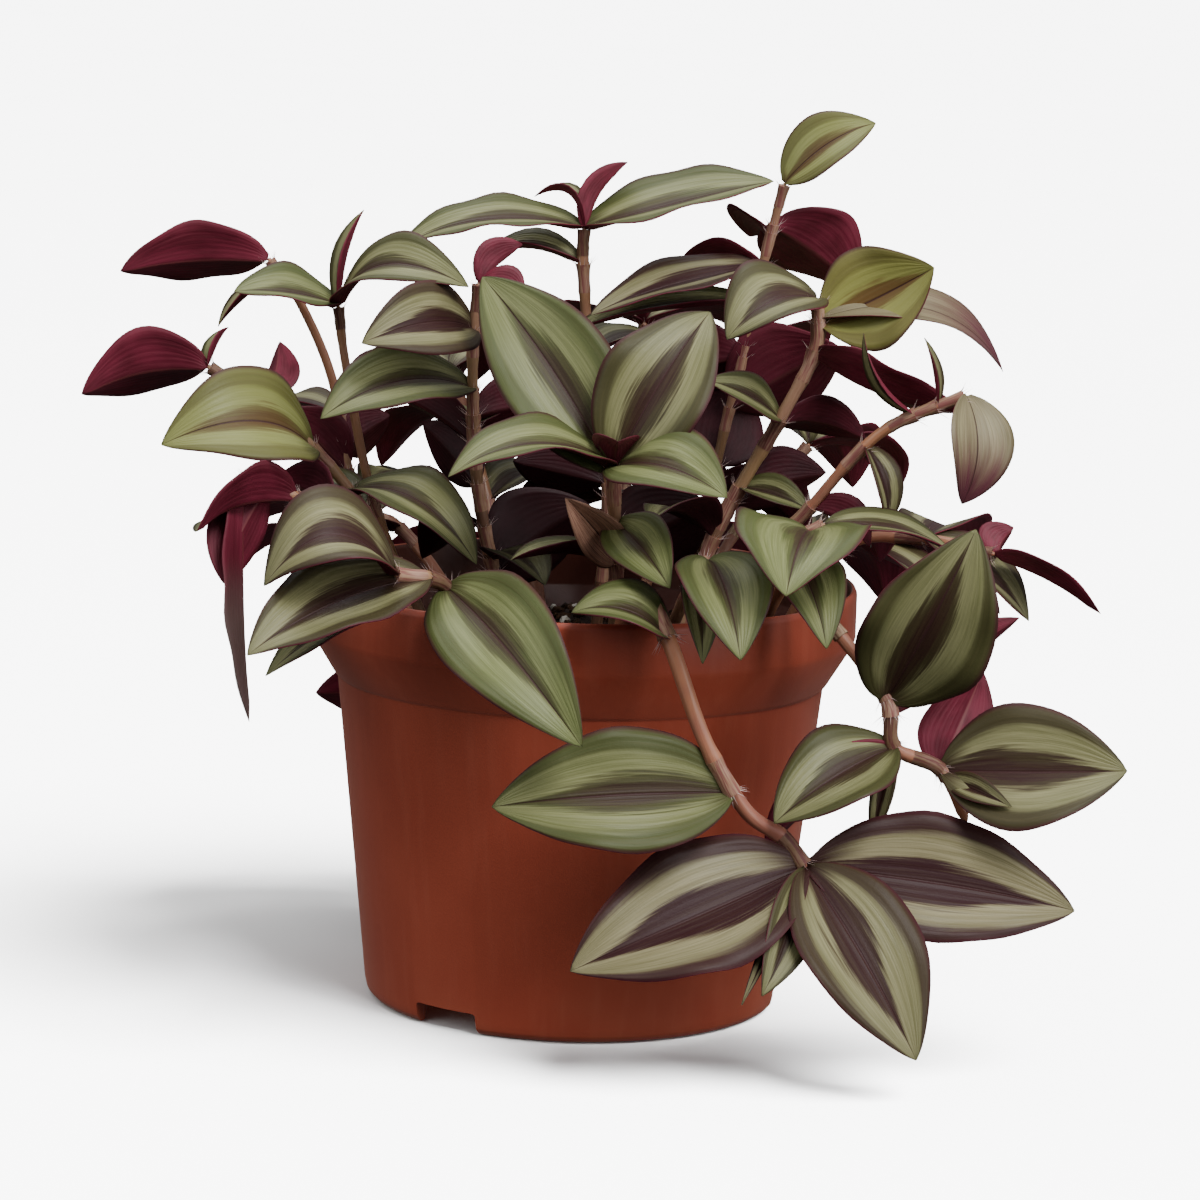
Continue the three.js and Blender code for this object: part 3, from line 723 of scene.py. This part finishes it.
def choose_only(*objects):
    bpy.ops.object.select_all(action="DESELECT")
    for piece in objects:
        piece.select_set(True)
    bpy.context.view_layer.objects.active = objects[0]


def new_object(name, data):
    made = bpy.data.objects.new(name, data)
    bpy.context.scene.collection.objects.link(made)
    return made


def copy_of(pattern, matrix=Matrix()):
    """A copy of a pattern with its own mesh, put in place in the mesh itself."""
    piece = new_object(pattern.name, pattern.data.copy())
    piece.data.transform(matrix)
    return piece


def joined(name, pieces):
    choose_only(*pieces)
    bpy.ops.object.join()
    piece = bpy.context.object
    piece.name = name
    piece.data.name = name
    return piece


def put_on(piece, *materials):
    for material in materials:
        piece.data.materials.append(material)


def shade(piece, angle):
    """Smooth shading over edges that bend by less than angle degrees."""
    choose_only(piece)
    bpy.ops.object.shade_smooth_by_angle(angle=math.radians(angle))


def edit_all():
    """Opens the active mesh for an edit, all selected."""
    bpy.ops.object.mode_set(mode="EDIT")
    bpy.ops.mesh.select_all(action="SELECT")


def end_edit():
    """Ends an edit, with every face turned outwards."""
    bpy.ops.mesh.select_all(action="SELECT")
    bpy.ops.mesh.normals_make_consistent(inside=False)
    bpy.ops.object.mode_set(mode="OBJECT")


def turned(name, outline, sides):
    """A closed round body about the pot's axis, from rings of (radius, height)."""
    radius, height = outline[0]
    bpy.ops.mesh.primitive_circle_add(
        vertices=sides, radius=radius * MM, location=(0, 0, height * MM), fill_type="NGON")
    piece = bpy.context.object
    piece.name = name
    bpy.ops.object.transform_apply(location=True)
    edit_all()
    for next_radius, next_height in outline[1:]:
        rise = (next_height - height) * MM
        share = next_radius / radius
        bpy.ops.mesh.extrude_region_move(TRANSFORM_OT_translate={"value": (0, 0, rise)})
        bpy.ops.transform.resize(value=(share, share, 1), center_override=(0, 0, 0))
        radius, height = next_radius, next_height
    end_edit()
    return piece


def apply_modifier(piece, kind, **settings):
    choose_only(piece)
    made = piece.modifiers.new(kind.lower(), kind)
    for key, value in settings.items():
        setattr(made, key, value)
    bpy.ops.object.modifier_apply(modifier=made.name)


def cut(piece, cutter):
    apply_modifier(piece, "BOOLEAN", object=cutter, operation="DIFFERENCE", solver="EXACT")
    bpy.data.objects.remove(cutter)


def around(radius, turn, height):
    """A place in metres, by radius and turn about the pot's axis, and height."""
    return (radius * MM * math.cos(turn), radius * MM * math.sin(turn), height * MM)


def pot_inner_radius(height):
    if height <= BAND_BOTTOM:
        rise = (height - SKIRT) / (BAND_BOTTOM - SKIRT)
        return FOOT_RADIUS + (NECK_RADIUS - FOOT_RADIUS) * rise - WALL
    rise = min(1, (height - BAND_BOTTOM) / BAND_SLOPE)
    return NECK_RADIUS + (RIM_RADIUS - NECK_RADIUS) * rise - WALL


def pot_shell():
    shoulder = BAND_BOTTOM + BAND_SLOPE
    shell = turned("nursery_pot", [
        (CENTRE_FOOT_RADIUS, 0),  # centre foot
        (CENTRE_FOOT_RADIUS + 3, SKIRT),
        (FOOT_RADIUS - 3.4, SKIRT),  # base plate, from below
        (FOOT_RADIUS - 2.8, 0),  # foot ring
        (FOOT_RADIUS - 1.4, 0),
        (FOOT_RADIUS - 0.3, 1.2),
        (FOOT_RADIUS + 0.1, 3),
        (NECK_RADIUS - 0.5, BAND_BOTTOM - 0.6),  # neck
        (NECK_RADIUS + 0.3, BAND_BOTTOM),
        (RIM_RADIUS - 0.3, shoulder - 0.8),  # rim band
        (RIM_RADIUS, shoulder + 0.6),
        (RIM_RADIUS, POT_HEIGHT - 1.2),
        (RIM_RADIUS - 0.5, POT_HEIGHT),  # lip
        (RIM_RADIUS - 1.1, POT_HEIGHT),
        (RIM_RADIUS - WALL, POT_HEIGHT - 0.8),
        (pot_inner_radius(shoulder), shoulder),  # inside
        (pot_inner_radius(BAND_BOTTOM), BAND_BOTTOM),
        (pot_inner_radius(PLATE_TOP), PLATE_TOP),  # base plate, from above
        (CENTRE_FOOT_RADIUS + 3.8, PLATE_TOP),
        (CENTRE_FOOT_RADIUS + 0.8, WALL),
    ], POT_SIDES)
    apply_modifier(shell, "BEVEL", width=EDGE_ROUNDING * MM, segments=2,
                   limit_method="ANGLE", angle_limit=math.radians(20))
    return shell


def make_pot(plastic):
    pot = pot_shell()
    for angle in NOTCH_ANGLES:
        turn = math.radians(angle)
        bpy.ops.mesh.primitive_cube_add(
            size=NOTCH_WIDTH * MM, rotation=(0, 0, turn), location=around(FOOT_RADIUS, turn, 0))
        notch = bpy.context.object
        bpy.ops.transform.resize(value=(1, 1, 2 * NOTCH_HEIGHT / NOTCH_WIDTH))
        apply_modifier(notch, "BEVEL", width=NOTCH_ROUNDING * MM, segments=3)
        cut(pot, notch)
    for number in range(DRAIN_HOLES):
        turn = 2 * math.pi * (number + 0.5) / DRAIN_HOLES
        bpy.ops.mesh.primitive_cylinder_add(
            vertices=32, radius=DRAIN_RADIUS * MM, depth=3 * WALL * MM,
            location=around(DRAIN_CIRCLE, turn, SKIRT + WALL / 2))
        cut(pot, bpy.context.object)
    shade(pot, 35)
    # Painted shade: the inside of the pot, from its base plate up to the rim, is marked to be darkened.
    inside_shade_marks = []
    for corner in pot.data.vertices:
        x, y, z = corner.co / MM
        inside_shade_marks.append(float(z > PLATE_TOP - 0.5 and math.hypot(x, y) < pot_inner_radius(z) + 0.3))
    pot.data.attributes.new("painted_inner_shade", "FLOAT", "POINT").data.foreach_set("value", inside_shade_marks)
    put_on(pot, plastic)
    return pot


def soil_radius():
    """The soil's edge, just clear of the pot's wall."""
    return pot_inner_radius(SOIL_EDGE) - 2 * SEAT


def soil_height(radius):
    """The soil's domed top, before its lumps and crumbs."""
    dome = (
        (0, SOIL_CENTRE),
        (0.5 * NECK_RADIUS, SOIL_CENTRE - 0.8),
        (0.85 * NECK_RADIUS, SOIL_EDGE + 1.5),
        (pot_inner_radius(SOIL_EDGE), SOIL_EDGE),
    )
    for (near, high), (far, low) in zip(dome, dome[1:]):
        if radius <= far:
            return high + (low - high) * (radius - near) / (far - near)


def make_soil(skin):
    bottom = PLATE_TOP + SEAT
    edge = soil_radius()
    rings = [(pot_inner_radius(bottom) - SEAT, bottom), (pot_inner_radius(BAND_BOTTOM) - SEAT, BAND_BOTTOM)]
    rings += [(edge * share, soil_height(edge * share)) for share in SOIL_RINGS]
    soil = turned("potting_soil", rings, SOIL_SIDES)
    lumps = bpy.data.textures.new("soil_lumps", "CLOUDS")
    lumps.noise_scale = LUMP_SIZE * MM
    top = soil.vertex_groups.new(name="top")
    top.add([v.index for v in soil.data.vertices if v.co.z > (SOIL_EDGE - 1) * MM], 1.0, "REPLACE")
    apply_modifier(soil, "DISPLACE", texture=lumps, vertex_group="top", direction="Z",
                   texture_coords="LOCAL", strength=LUMP_HEIGHT * MM, mid_level=0.6)
    shade(soil, 50)
    put_on(soil, skin)
    return soil


def make_crumbs(crumb, perlite):
    bpy.ops.mesh.primitive_ico_sphere_add(subdivisions=1, radius=MM)
    pattern = bpy.context.object
    chance = random.Random(GRAIN_SEED)
    grains = []
    for number in range(GRAINS):
        white = number % PERLITE_EVERY == 0
        radius = soil_radius() * 0.96 * math.sqrt(chance.random())
        turn = chance.uniform(0, 2 * math.pi)
        size = chance.uniform(0.8, 1.5) if white else chance.uniform(0.5, 1.7)
        place = Vector((radius * math.cos(turn), radius * math.sin(turn), soil_height(radius) + 0.2)) * MM
        angle = chance.uniform(0, math.pi)
        axis = (chance.uniform(-1, 1), chance.uniform(-1, 1), 0.3)
        tilt = Matrix.Rotation(angle, 4, axis)
        squash = Matrix.Diagonal((size, size * chance.uniform(0.6, 1), size * chance.uniform(0.45, 0.9), 1))
        grain = copy_of(pattern, Matrix.Translation(place) @ tilt @ squash)
        for corner in grain.data.vertices:
            nudge = Vector([chance.uniform(-1, 1) for _ in range(3)])
            corner.co += nudge * 0.12 * size * MM
        put_on(grain, perlite if white else crumb)
        grains.append(grain)
    bpy.data.objects.remove(pattern)
    return joined("soil_crumbs_and_perlite", grains)


def catmull(points, share):
    """A point on the smooth stem line through its nodes, from 0 at the root to 1 at the end."""
    last = len(points) - 1
    place = share * last
    k = min(int(place), last - 1)
    t = place - k
    b, c = points[k], points[k + 1]
    a = points[k - 1] if k > 0 else b * 2 - c
    d = points[k + 2] if k + 2 <= last else c * 2 - b
    start, end = (c - a) * 0.5, (d - b) * 0.5
    return (b * (2 * t**3 - 3 * t**2 + 1) + start * (t**3 - 2 * t**2 + t)
            + c * (3 * t**2 - 2 * t**3) + end * (t**3 - t**2))


def tube(name, points, radii, material, ripeness):
    """A round stalk along points, each with its own radius, in millimetres."""
    curve = bpy.data.curves.new(name, "CURVE")
    curve.dimensions = "3D"
    curve.bevel_depth = MM
    curve.bevel_resolution = 3
    curve.use_fill_caps = True
    line = curve.splines.new("POLY")
    line.points.add(len(points) - 1)
    for spot, point, radius in zip(line.points, points, radii):
        spot.co = (*(point * MM), 1)
        spot.radius = radius
    stalk = new_object(name, curve)
    choose_only(stalk)
    bpy.ops.object.convert(target="MESH")
    stalk = bpy.context.object
    edit_all()
    bpy.ops.mesh.remove_doubles(threshold=0.001 * MM)
    bpy.ops.object.mode_set(mode="OBJECT")
    middle = KDTree(len(points))
    for k, point in enumerate(points):
        middle.insert(point, k)
    middle.balance()
    step = (points[1] - points[0]).length
    fibres = []
    for corner in stalk.data.vertices:
        centre, k, _ = middle.find(corner.co / MM)
        drift = Vector((FIBRE_DRIFT * k * step, 0, 0))
        fibres.extend(corner.co / MM - centre + drift)
    stalk.data.attributes.new("fibre", "FLOAT_VECTOR", "POINT").data.foreach_set("vector", fibres)
    shade(stalk, 50)
    put_on(stalk, material)
    store(stalk, ripeness, 0)
    return stalk


def store(piece, ripeness, lot):
    for name, value in (("ripeness", ripeness), ("lot", lot)):
        attribute = piece.data.attributes.new(name, "FLOAT", "POINT")
        attribute.data.foreach_set("value", [value] * len(piece.data.vertices))


def leaf_width(along):
    """Share of the full width along a leaf: round near the stem, drawn out to a point."""
    return math.sin(math.pi * along ** 0.85) ** 0.8 if 0 < along < 1 else 0


def make_leaf_pattern(name, faces, columns, rows):
    """A flat leaf blade: x from -1 to 1 across, y from 0 to 1 along, z 0 on its face and -1 below."""
    bpy.ops.mesh.primitive_grid_add(x_subdivisions=columns, y_subdivisions=rows, size=2)
    blade = bpy.context.object
    blade.name = name
    edit_all()
    bpy.ops.mesh.extrude_region_move(TRANSFORM_OT_translate={"value": (0, 0, -1)})
    end_edit()
    bpy.ops.object.shade_smooth()
    mesh = blade.data
    # Columns lie closer by the midrib, and rows by the root and the tip
    for corner in mesh.vertices:
        x, y, _ = corner.co
        share = (y + 1) / 2
        corner.co.x = math.copysign(abs(x) ** 1.3, x)
        corner.co.y = share - 0.07 * math.sin(2 * math.pi * share)
    layer = mesh.uv_layers[0]
    layer.name = "leaf"
    for loop in mesh.loops:
        x, y, _ = mesh.vertices[loop.vertex_index].co
        layer.data[loop.index].uv = ((x + 1) / 2, y)
    put_on(blade, *faces)
    for polygon in mesh.polygons:
        on_face = all(mesh.vertices[k].co.z > -0.5 for k in polygon.vertices)
        polygon.material_index = 0 if on_face else 1
    return blade


def fold_shape(u):
    """Height of a folded blade at u, from -1 to 1 across it: a V with a rounded bottom."""
    return 1.25 * math.sqrt(u * u + 0.003) - 0.25 * u * u - 0.06


def grow_leaf(pattern, root, tip, width, arch, face, ripeness, chance):
    """A blade bent from its root to its tip: folded, arched, keeled below, with a gentle wave."""
    chord = tip - root
    length = chord.length
    forward = chord / length
    up = (face - forward * face.dot(forward)).normalized()
    side = forward.cross(up)
    hook = length * chance.uniform(0.01, 0.04)
    sweep = length * chance.uniform(-0.025, 0.025)
    twist = chance.uniform(-0.1, 0.1)
    wave = width * chance.uniform(0.015, 0.04)
    waves = length / chance.uniform(14, 22)
    phase = chance.uniform(0, 2 * math.pi)
    rolled = YOUNG_FOLD if width < YOUNG_WIDTH else 0
    blade = copy_of(pattern)
    for corner in blade.data.vertices:
        u, along, level = corner.co
        half = max(leaf_width(along) * width / 2, TIP_HALF_WIDTH)
        if along < 0.1:
            half = max(half, ROOT_SHARE * width / 2)
        bow = 4 * arch * along * (1 - along) + hook * (along - along ** 5)
        drift = 4 * sweep * along * (1 - along)
        middle = root + chord * along + up * bow + side * drift
        tangent = (chord + up * (4 * arch * (1 - 2 * along) + hook * (1 - 5 * along ** 4))
                   + side * 4 * sweep * (1 - 2 * along))
        normal = side.cross(tangent).normalized()
        turn = twist * along
        across = side * math.cos(turn) + normal * math.sin(turn)
        lift = normal * math.cos(turn) - side * math.sin(turn)
        fold = FOLD_RISE + rolled + 0.5 * math.exp(-along / 0.06)
        rise = fold * half * fold_shape(u)
        swing = math.sin(2 * math.pi * waves * along + phase + (1.7 if u > 0 else 0))
        rise += wave * abs(u) ** 3 * swing * math.sin(math.pi * along)
        if level < -0.5:
            slim = min(1, half / 2.5)
            rise -= LEAF_THICKNESS * (1 - 0.6 * u * u) * slim
            keel = KEEL_DEPTH * math.exp(-(u * half / KEEL_HALF_WIDTH) ** 2) * (1 - along)
            rise -= keel * slim * min(1, width / 16)
        corner.co = (middle + across * (u * half) + lift * rise) * MM
    store(blade, ripeness, chance.random())
    return blade


class StemLine:
    """The smooth centre line of a stem, measured along its length in millimetres."""

    def __init__(self, nodes, thick, samples=240):
        self.thick = thick
        self.joints = []
        self.nodes = [Vector(node) for node in nodes]
        self.points = [catmull(self.nodes, k / samples) for k in range(samples + 1)]
        self.reach = [0.0]
        for near, far in zip(self.points, self.points[1:]):
            self.reach.append(self.reach[-1] + (far - near).length)
        self.length = self.reach[-1]

    def reach_of(self, node):
        place = node / (len(self.nodes) - 1) * (len(self.points) - 1)
        k = min(int(place), len(self.points) - 2)
        return self.reach[k] + (self.reach[k + 1] - self.reach[k]) * (place - k)

    def at(self, reach):
        reach = max(0.0, min(self.length, reach))
        k = bisect_left(self.reach, reach, 1, len(self.reach) - 1) - 1
        step = self.reach[k + 1] - self.reach[k]
        return self.points[k].lerp(self.points[k + 1], (reach - self.reach[k]) / step)

    def heading(self, reach):
        return (self.at(reach + 0.5) - self.at(reach - 0.5)).normalized()

    def radius(self, reach):
        """Thinner towards the end and a little swollen at each joint."""
        radius = self.thick / 2 * (1.0 - STEM_TAPER * reach / self.length)
        swell = sum(math.exp(-((reach - joint) / JOINT_REACH) ** 2) for joint in self.joints)
        return radius * (1 + JOINT_SWELL * min(1, swell))


def make_fringe(material):
    """A ring of fine hairs, as on the mouth of each leaf sheath."""
    chance = random.Random(HAIR_SEED)
    bpy.ops.mesh.primitive_cone_add(vertices=3, radius1=0.05 * MM, depth=MM, location=(0, 0, 0.5 * MM))
    hair = bpy.context.object
    bpy.ops.object.transform_apply(location=True)
    put_on(hair, material)
    ring = []
    for number in range(HAIRS):
        turn = 2 * math.pi * (number + chance.uniform(-0.3, 0.3)) / HAIRS
        lean = Matrix.Rotation(chance.uniform(0.15, 0.8), 4, "Y")
        grow = Matrix.Diagonal((1, 1, chance.uniform(1.2, 2.6), 1))
        place = Matrix.Rotation(turn, 4, "Z") @ Matrix.Translation((MM, 0, 0)) @ lean @ grow
        ring.append(copy_of(hair, place))
    bpy.data.objects.remove(hair)
    return joined("hair_ring", ring)


def wrap(line, start, end, flare, material, ripeness):
    """A closed sheath round the stem, snug at its foot and a little wider at its mouth."""
    points, radii = [], []
    for k in range(SHEATH_RINGS):
        share = k / (SHEATH_RINGS - 1)
        reach = start + (end - start) * share
        points.append(line.at(reach))
        radii.append(line.radius(reach) + 0.06 + flare * share ** 1.5)
    return tube("sheath", points, radii, material, ripeness)


def make_shoot(name, shoot, patterns, fringe, skins, seed):
    """A stem with its leaves, the sheath and hairs below each leaf, and dry sheaths lower down."""
    chance = random.Random(seed)
    ripeness = shoot["ripe"]
    line = StemLine(shoot["nodes"], shoot["thick"])
    soil_reach = line.reach_of(1)
    sheath_length = SHEATH_LENGTH * line.thick
    roots = [line.reach_of(leaf[0]) for leaf in shoot["leaves"]]
    joints = [max(soil_reach, root - sheath_length) for root in roots]
    old_joints = []
    reach = min(joints) - chance.uniform(15, 22)
    while reach > soil_reach + 4:
        old_joints.append(reach)
        reach -= chance.uniform(16, 24)
    line.joints = joints + old_joints
    steps = round(line.length / STEM_STEP)
    reaches = [line.length * k / steps for k in range(steps + 1)]
    radii = [line.radius(reach) for reach in reaches]
    radii[-1] *= 0.3
    radii[-2] *= 0.8
    pieces = [tube("stalk", [line.at(reach) for reach in reaches], radii, skins["stem"], ripeness)]
    for (_, tip, width, arch, face, *own), root, joint in zip(shoot["leaves"], roots, joints):
        ripe = own[0] if own else ripeness
        pattern = patterns["young" if width < YOUNG_WIDTH else "grown"]
        leaf = grow_leaf(pattern, line.at(root), Vector(tip), width, arch, Vector(face), ripe, chance)
        mouth = min(root, line.length - 0.6)
        sheath = wrap(line, joint, mouth, SHEATH_FLARE, skins["sheath"], ripe)
        turn = line.heading(mouth).to_track_quat("Z", "X").to_matrix().to_4x4()
        size = line.radius(mouth) + 0.3
        place = Matrix.Translation(line.at(mouth) * MM) @ turn @ Matrix.Diagonal((size, size, 1, 1))
        pieces += [leaf, sheath, copy_of(fringe, place)]
    for reach in old_joints:
        if chance.random() < DRY_SHARE:
            end = reach + chance.uniform(4, 8)
            flare = chance.uniform(0.3, 0.9)
            pieces.append(wrap(line, reach, end, flare, skins["dry"], ripeness))
    return joined("leafy_stem_" + name, pieces)


def make_floor():
    bpy.ops.mesh.primitive_plane_add(size=FLOOR_SIZE, location=(0, 0, -FLOOR_DROP))
    floor = bpy.context.object
    floor.name = "pale_floor"
    finish = Finish("pale_floor", Roughness=0.8, Specular_IOR_Level=0.2)
    tint = finish.noise(finish.place(), 3, 2)
    put_on(floor, finish.lay(finish.blend(tint, (236, 236, 236), (240, 240, 240))))
    return floor


def add_light(name, place, size, power):
    bpy.ops.object.light_add(type="AREA", location=place)
    lamp = bpy.context.object
    lamp.name = name
    lamp.data.size = size
    lamp.data.energy = power
    lamp.rotation_euler = (Vector(LIGHT_TARGET) - Vector(place)).to_track_quat("-Z", "Y").to_euler()


def light_room(floor):
    """Soft light, brighter from above than from below, and one light for the floor alone."""
    world = bpy.data.worlds.new("studio")
    bpy.context.scene.world = world
    world.use_nodes = True
    nodes, links = world.node_tree.nodes, world.node_tree.links
    direction = nodes.new("ShaderNodeTexCoord")
    parts = nodes.new("ShaderNodeSeparateXYZ")
    links.new(direction.outputs["Generated"], parts.inputs[0])
    sky = nodes.new("ShaderNodeMapRange")
    links.new(parts.outputs["Z"], sky.inputs[0])
    for socket, value in (("From Min", -0.1), ("From Max", 0.8), ("To Min", 0.06), ("To Max", 0.6)):
        sky.inputs[socket].default_value = value
    links.new(sky.outputs[0], nodes["Background"].inputs["Strength"])
    nodes["Background"].inputs["Color"].default_value = (1, 1, 1, 1)
    add_light("key_light", (0.5, -0.85, 1.25), 0.6, 20)
    add_light("fill_light", (-1.0, -0.8, 0.7), 0.9, 5)
    add_light("side_light", (1.1, -0.7, 0.4), 0.8, 7.5)
    add_light("top_light", (-0.25, 0.35, 1.25), 0.8, 8)
    bpy.ops.object.light_add(type="SUN", rotation=(math.radians(24), math.radians(30), 0))
    floor_light = bpy.context.object
    floor_light.name = "floor_light"
    floor_light.data.energy = 34
    floor_light.data.angle = math.radians(40)
    lit = bpy.data.collections.new("lit_by_floor_light")
    lit.objects.link(floor)
    floor_light.light_linking.receiver_collection = lit
    floor.visible_diffuse = False
    floor.visible_glossy = False


def aim_camera():
    """The photograph's viewing point: in front, a little above the crown, with a slight roll."""
    data = bpy.data.cameras.new("camera")
    data.sensor_width = SENSOR_WIDTH
    data.lens = LENS
    camera = new_object("camera", data)
    down, roll = math.radians(CAMERA_DOWN), math.radians(CAMERA_ROLL)
    ahead = Vector((0, math.cos(down), -math.sin(down)))
    above = Vector((0, math.sin(down), math.cos(down)))
    right = Vector((1, 0, 0))
    x = right * math.cos(roll) + above * math.sin(roll)
    y = above * math.cos(roll) - right * math.sin(roll)
    turn = Matrix((x, y, -ahead)).transposed().to_4x4()
    camera.matrix_world = Matrix.Translation(CAMERA_PLACE) @ turn
    bpy.context.scene.camera = camera


aim_camera()
floor = make_floor()
light_room(floor)

pot = make_pot(pot_plastic())
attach(pot, "root")
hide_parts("pot")

soil = make_soil(soil_skin())
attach(soil, "root")
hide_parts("soil")

crumbs = make_crumbs(crumb_skin(), perlite_skin())
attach(crumbs, "root")

leaf_faces = (striped_face(), purple_face())
leaf_patterns = {
    "grown": make_leaf_pattern("leaf", leaf_faces, columns=14, rows=28),
    "young": make_leaf_pattern("young_leaf", leaf_faces, columns=8, rows=14),
}
hair_ring = make_fringe(fine_hair())
skins = {"stem": stem_skin(), "sheath": sheath_skin(), "dry": dry_sheath()}
for number, (name, shoot) in enumerate(SHOOTS.items()):
    leafy_stem = make_shoot(name, shoot, leaf_patterns, hair_ring, skins, SHOOT_SEED + number)
    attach(leafy_stem, "root")
    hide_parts("shoot_" + name)
for pattern in (*leaf_patterns.values(), hair_ring):
    bpy.data.objects.remove(pattern)
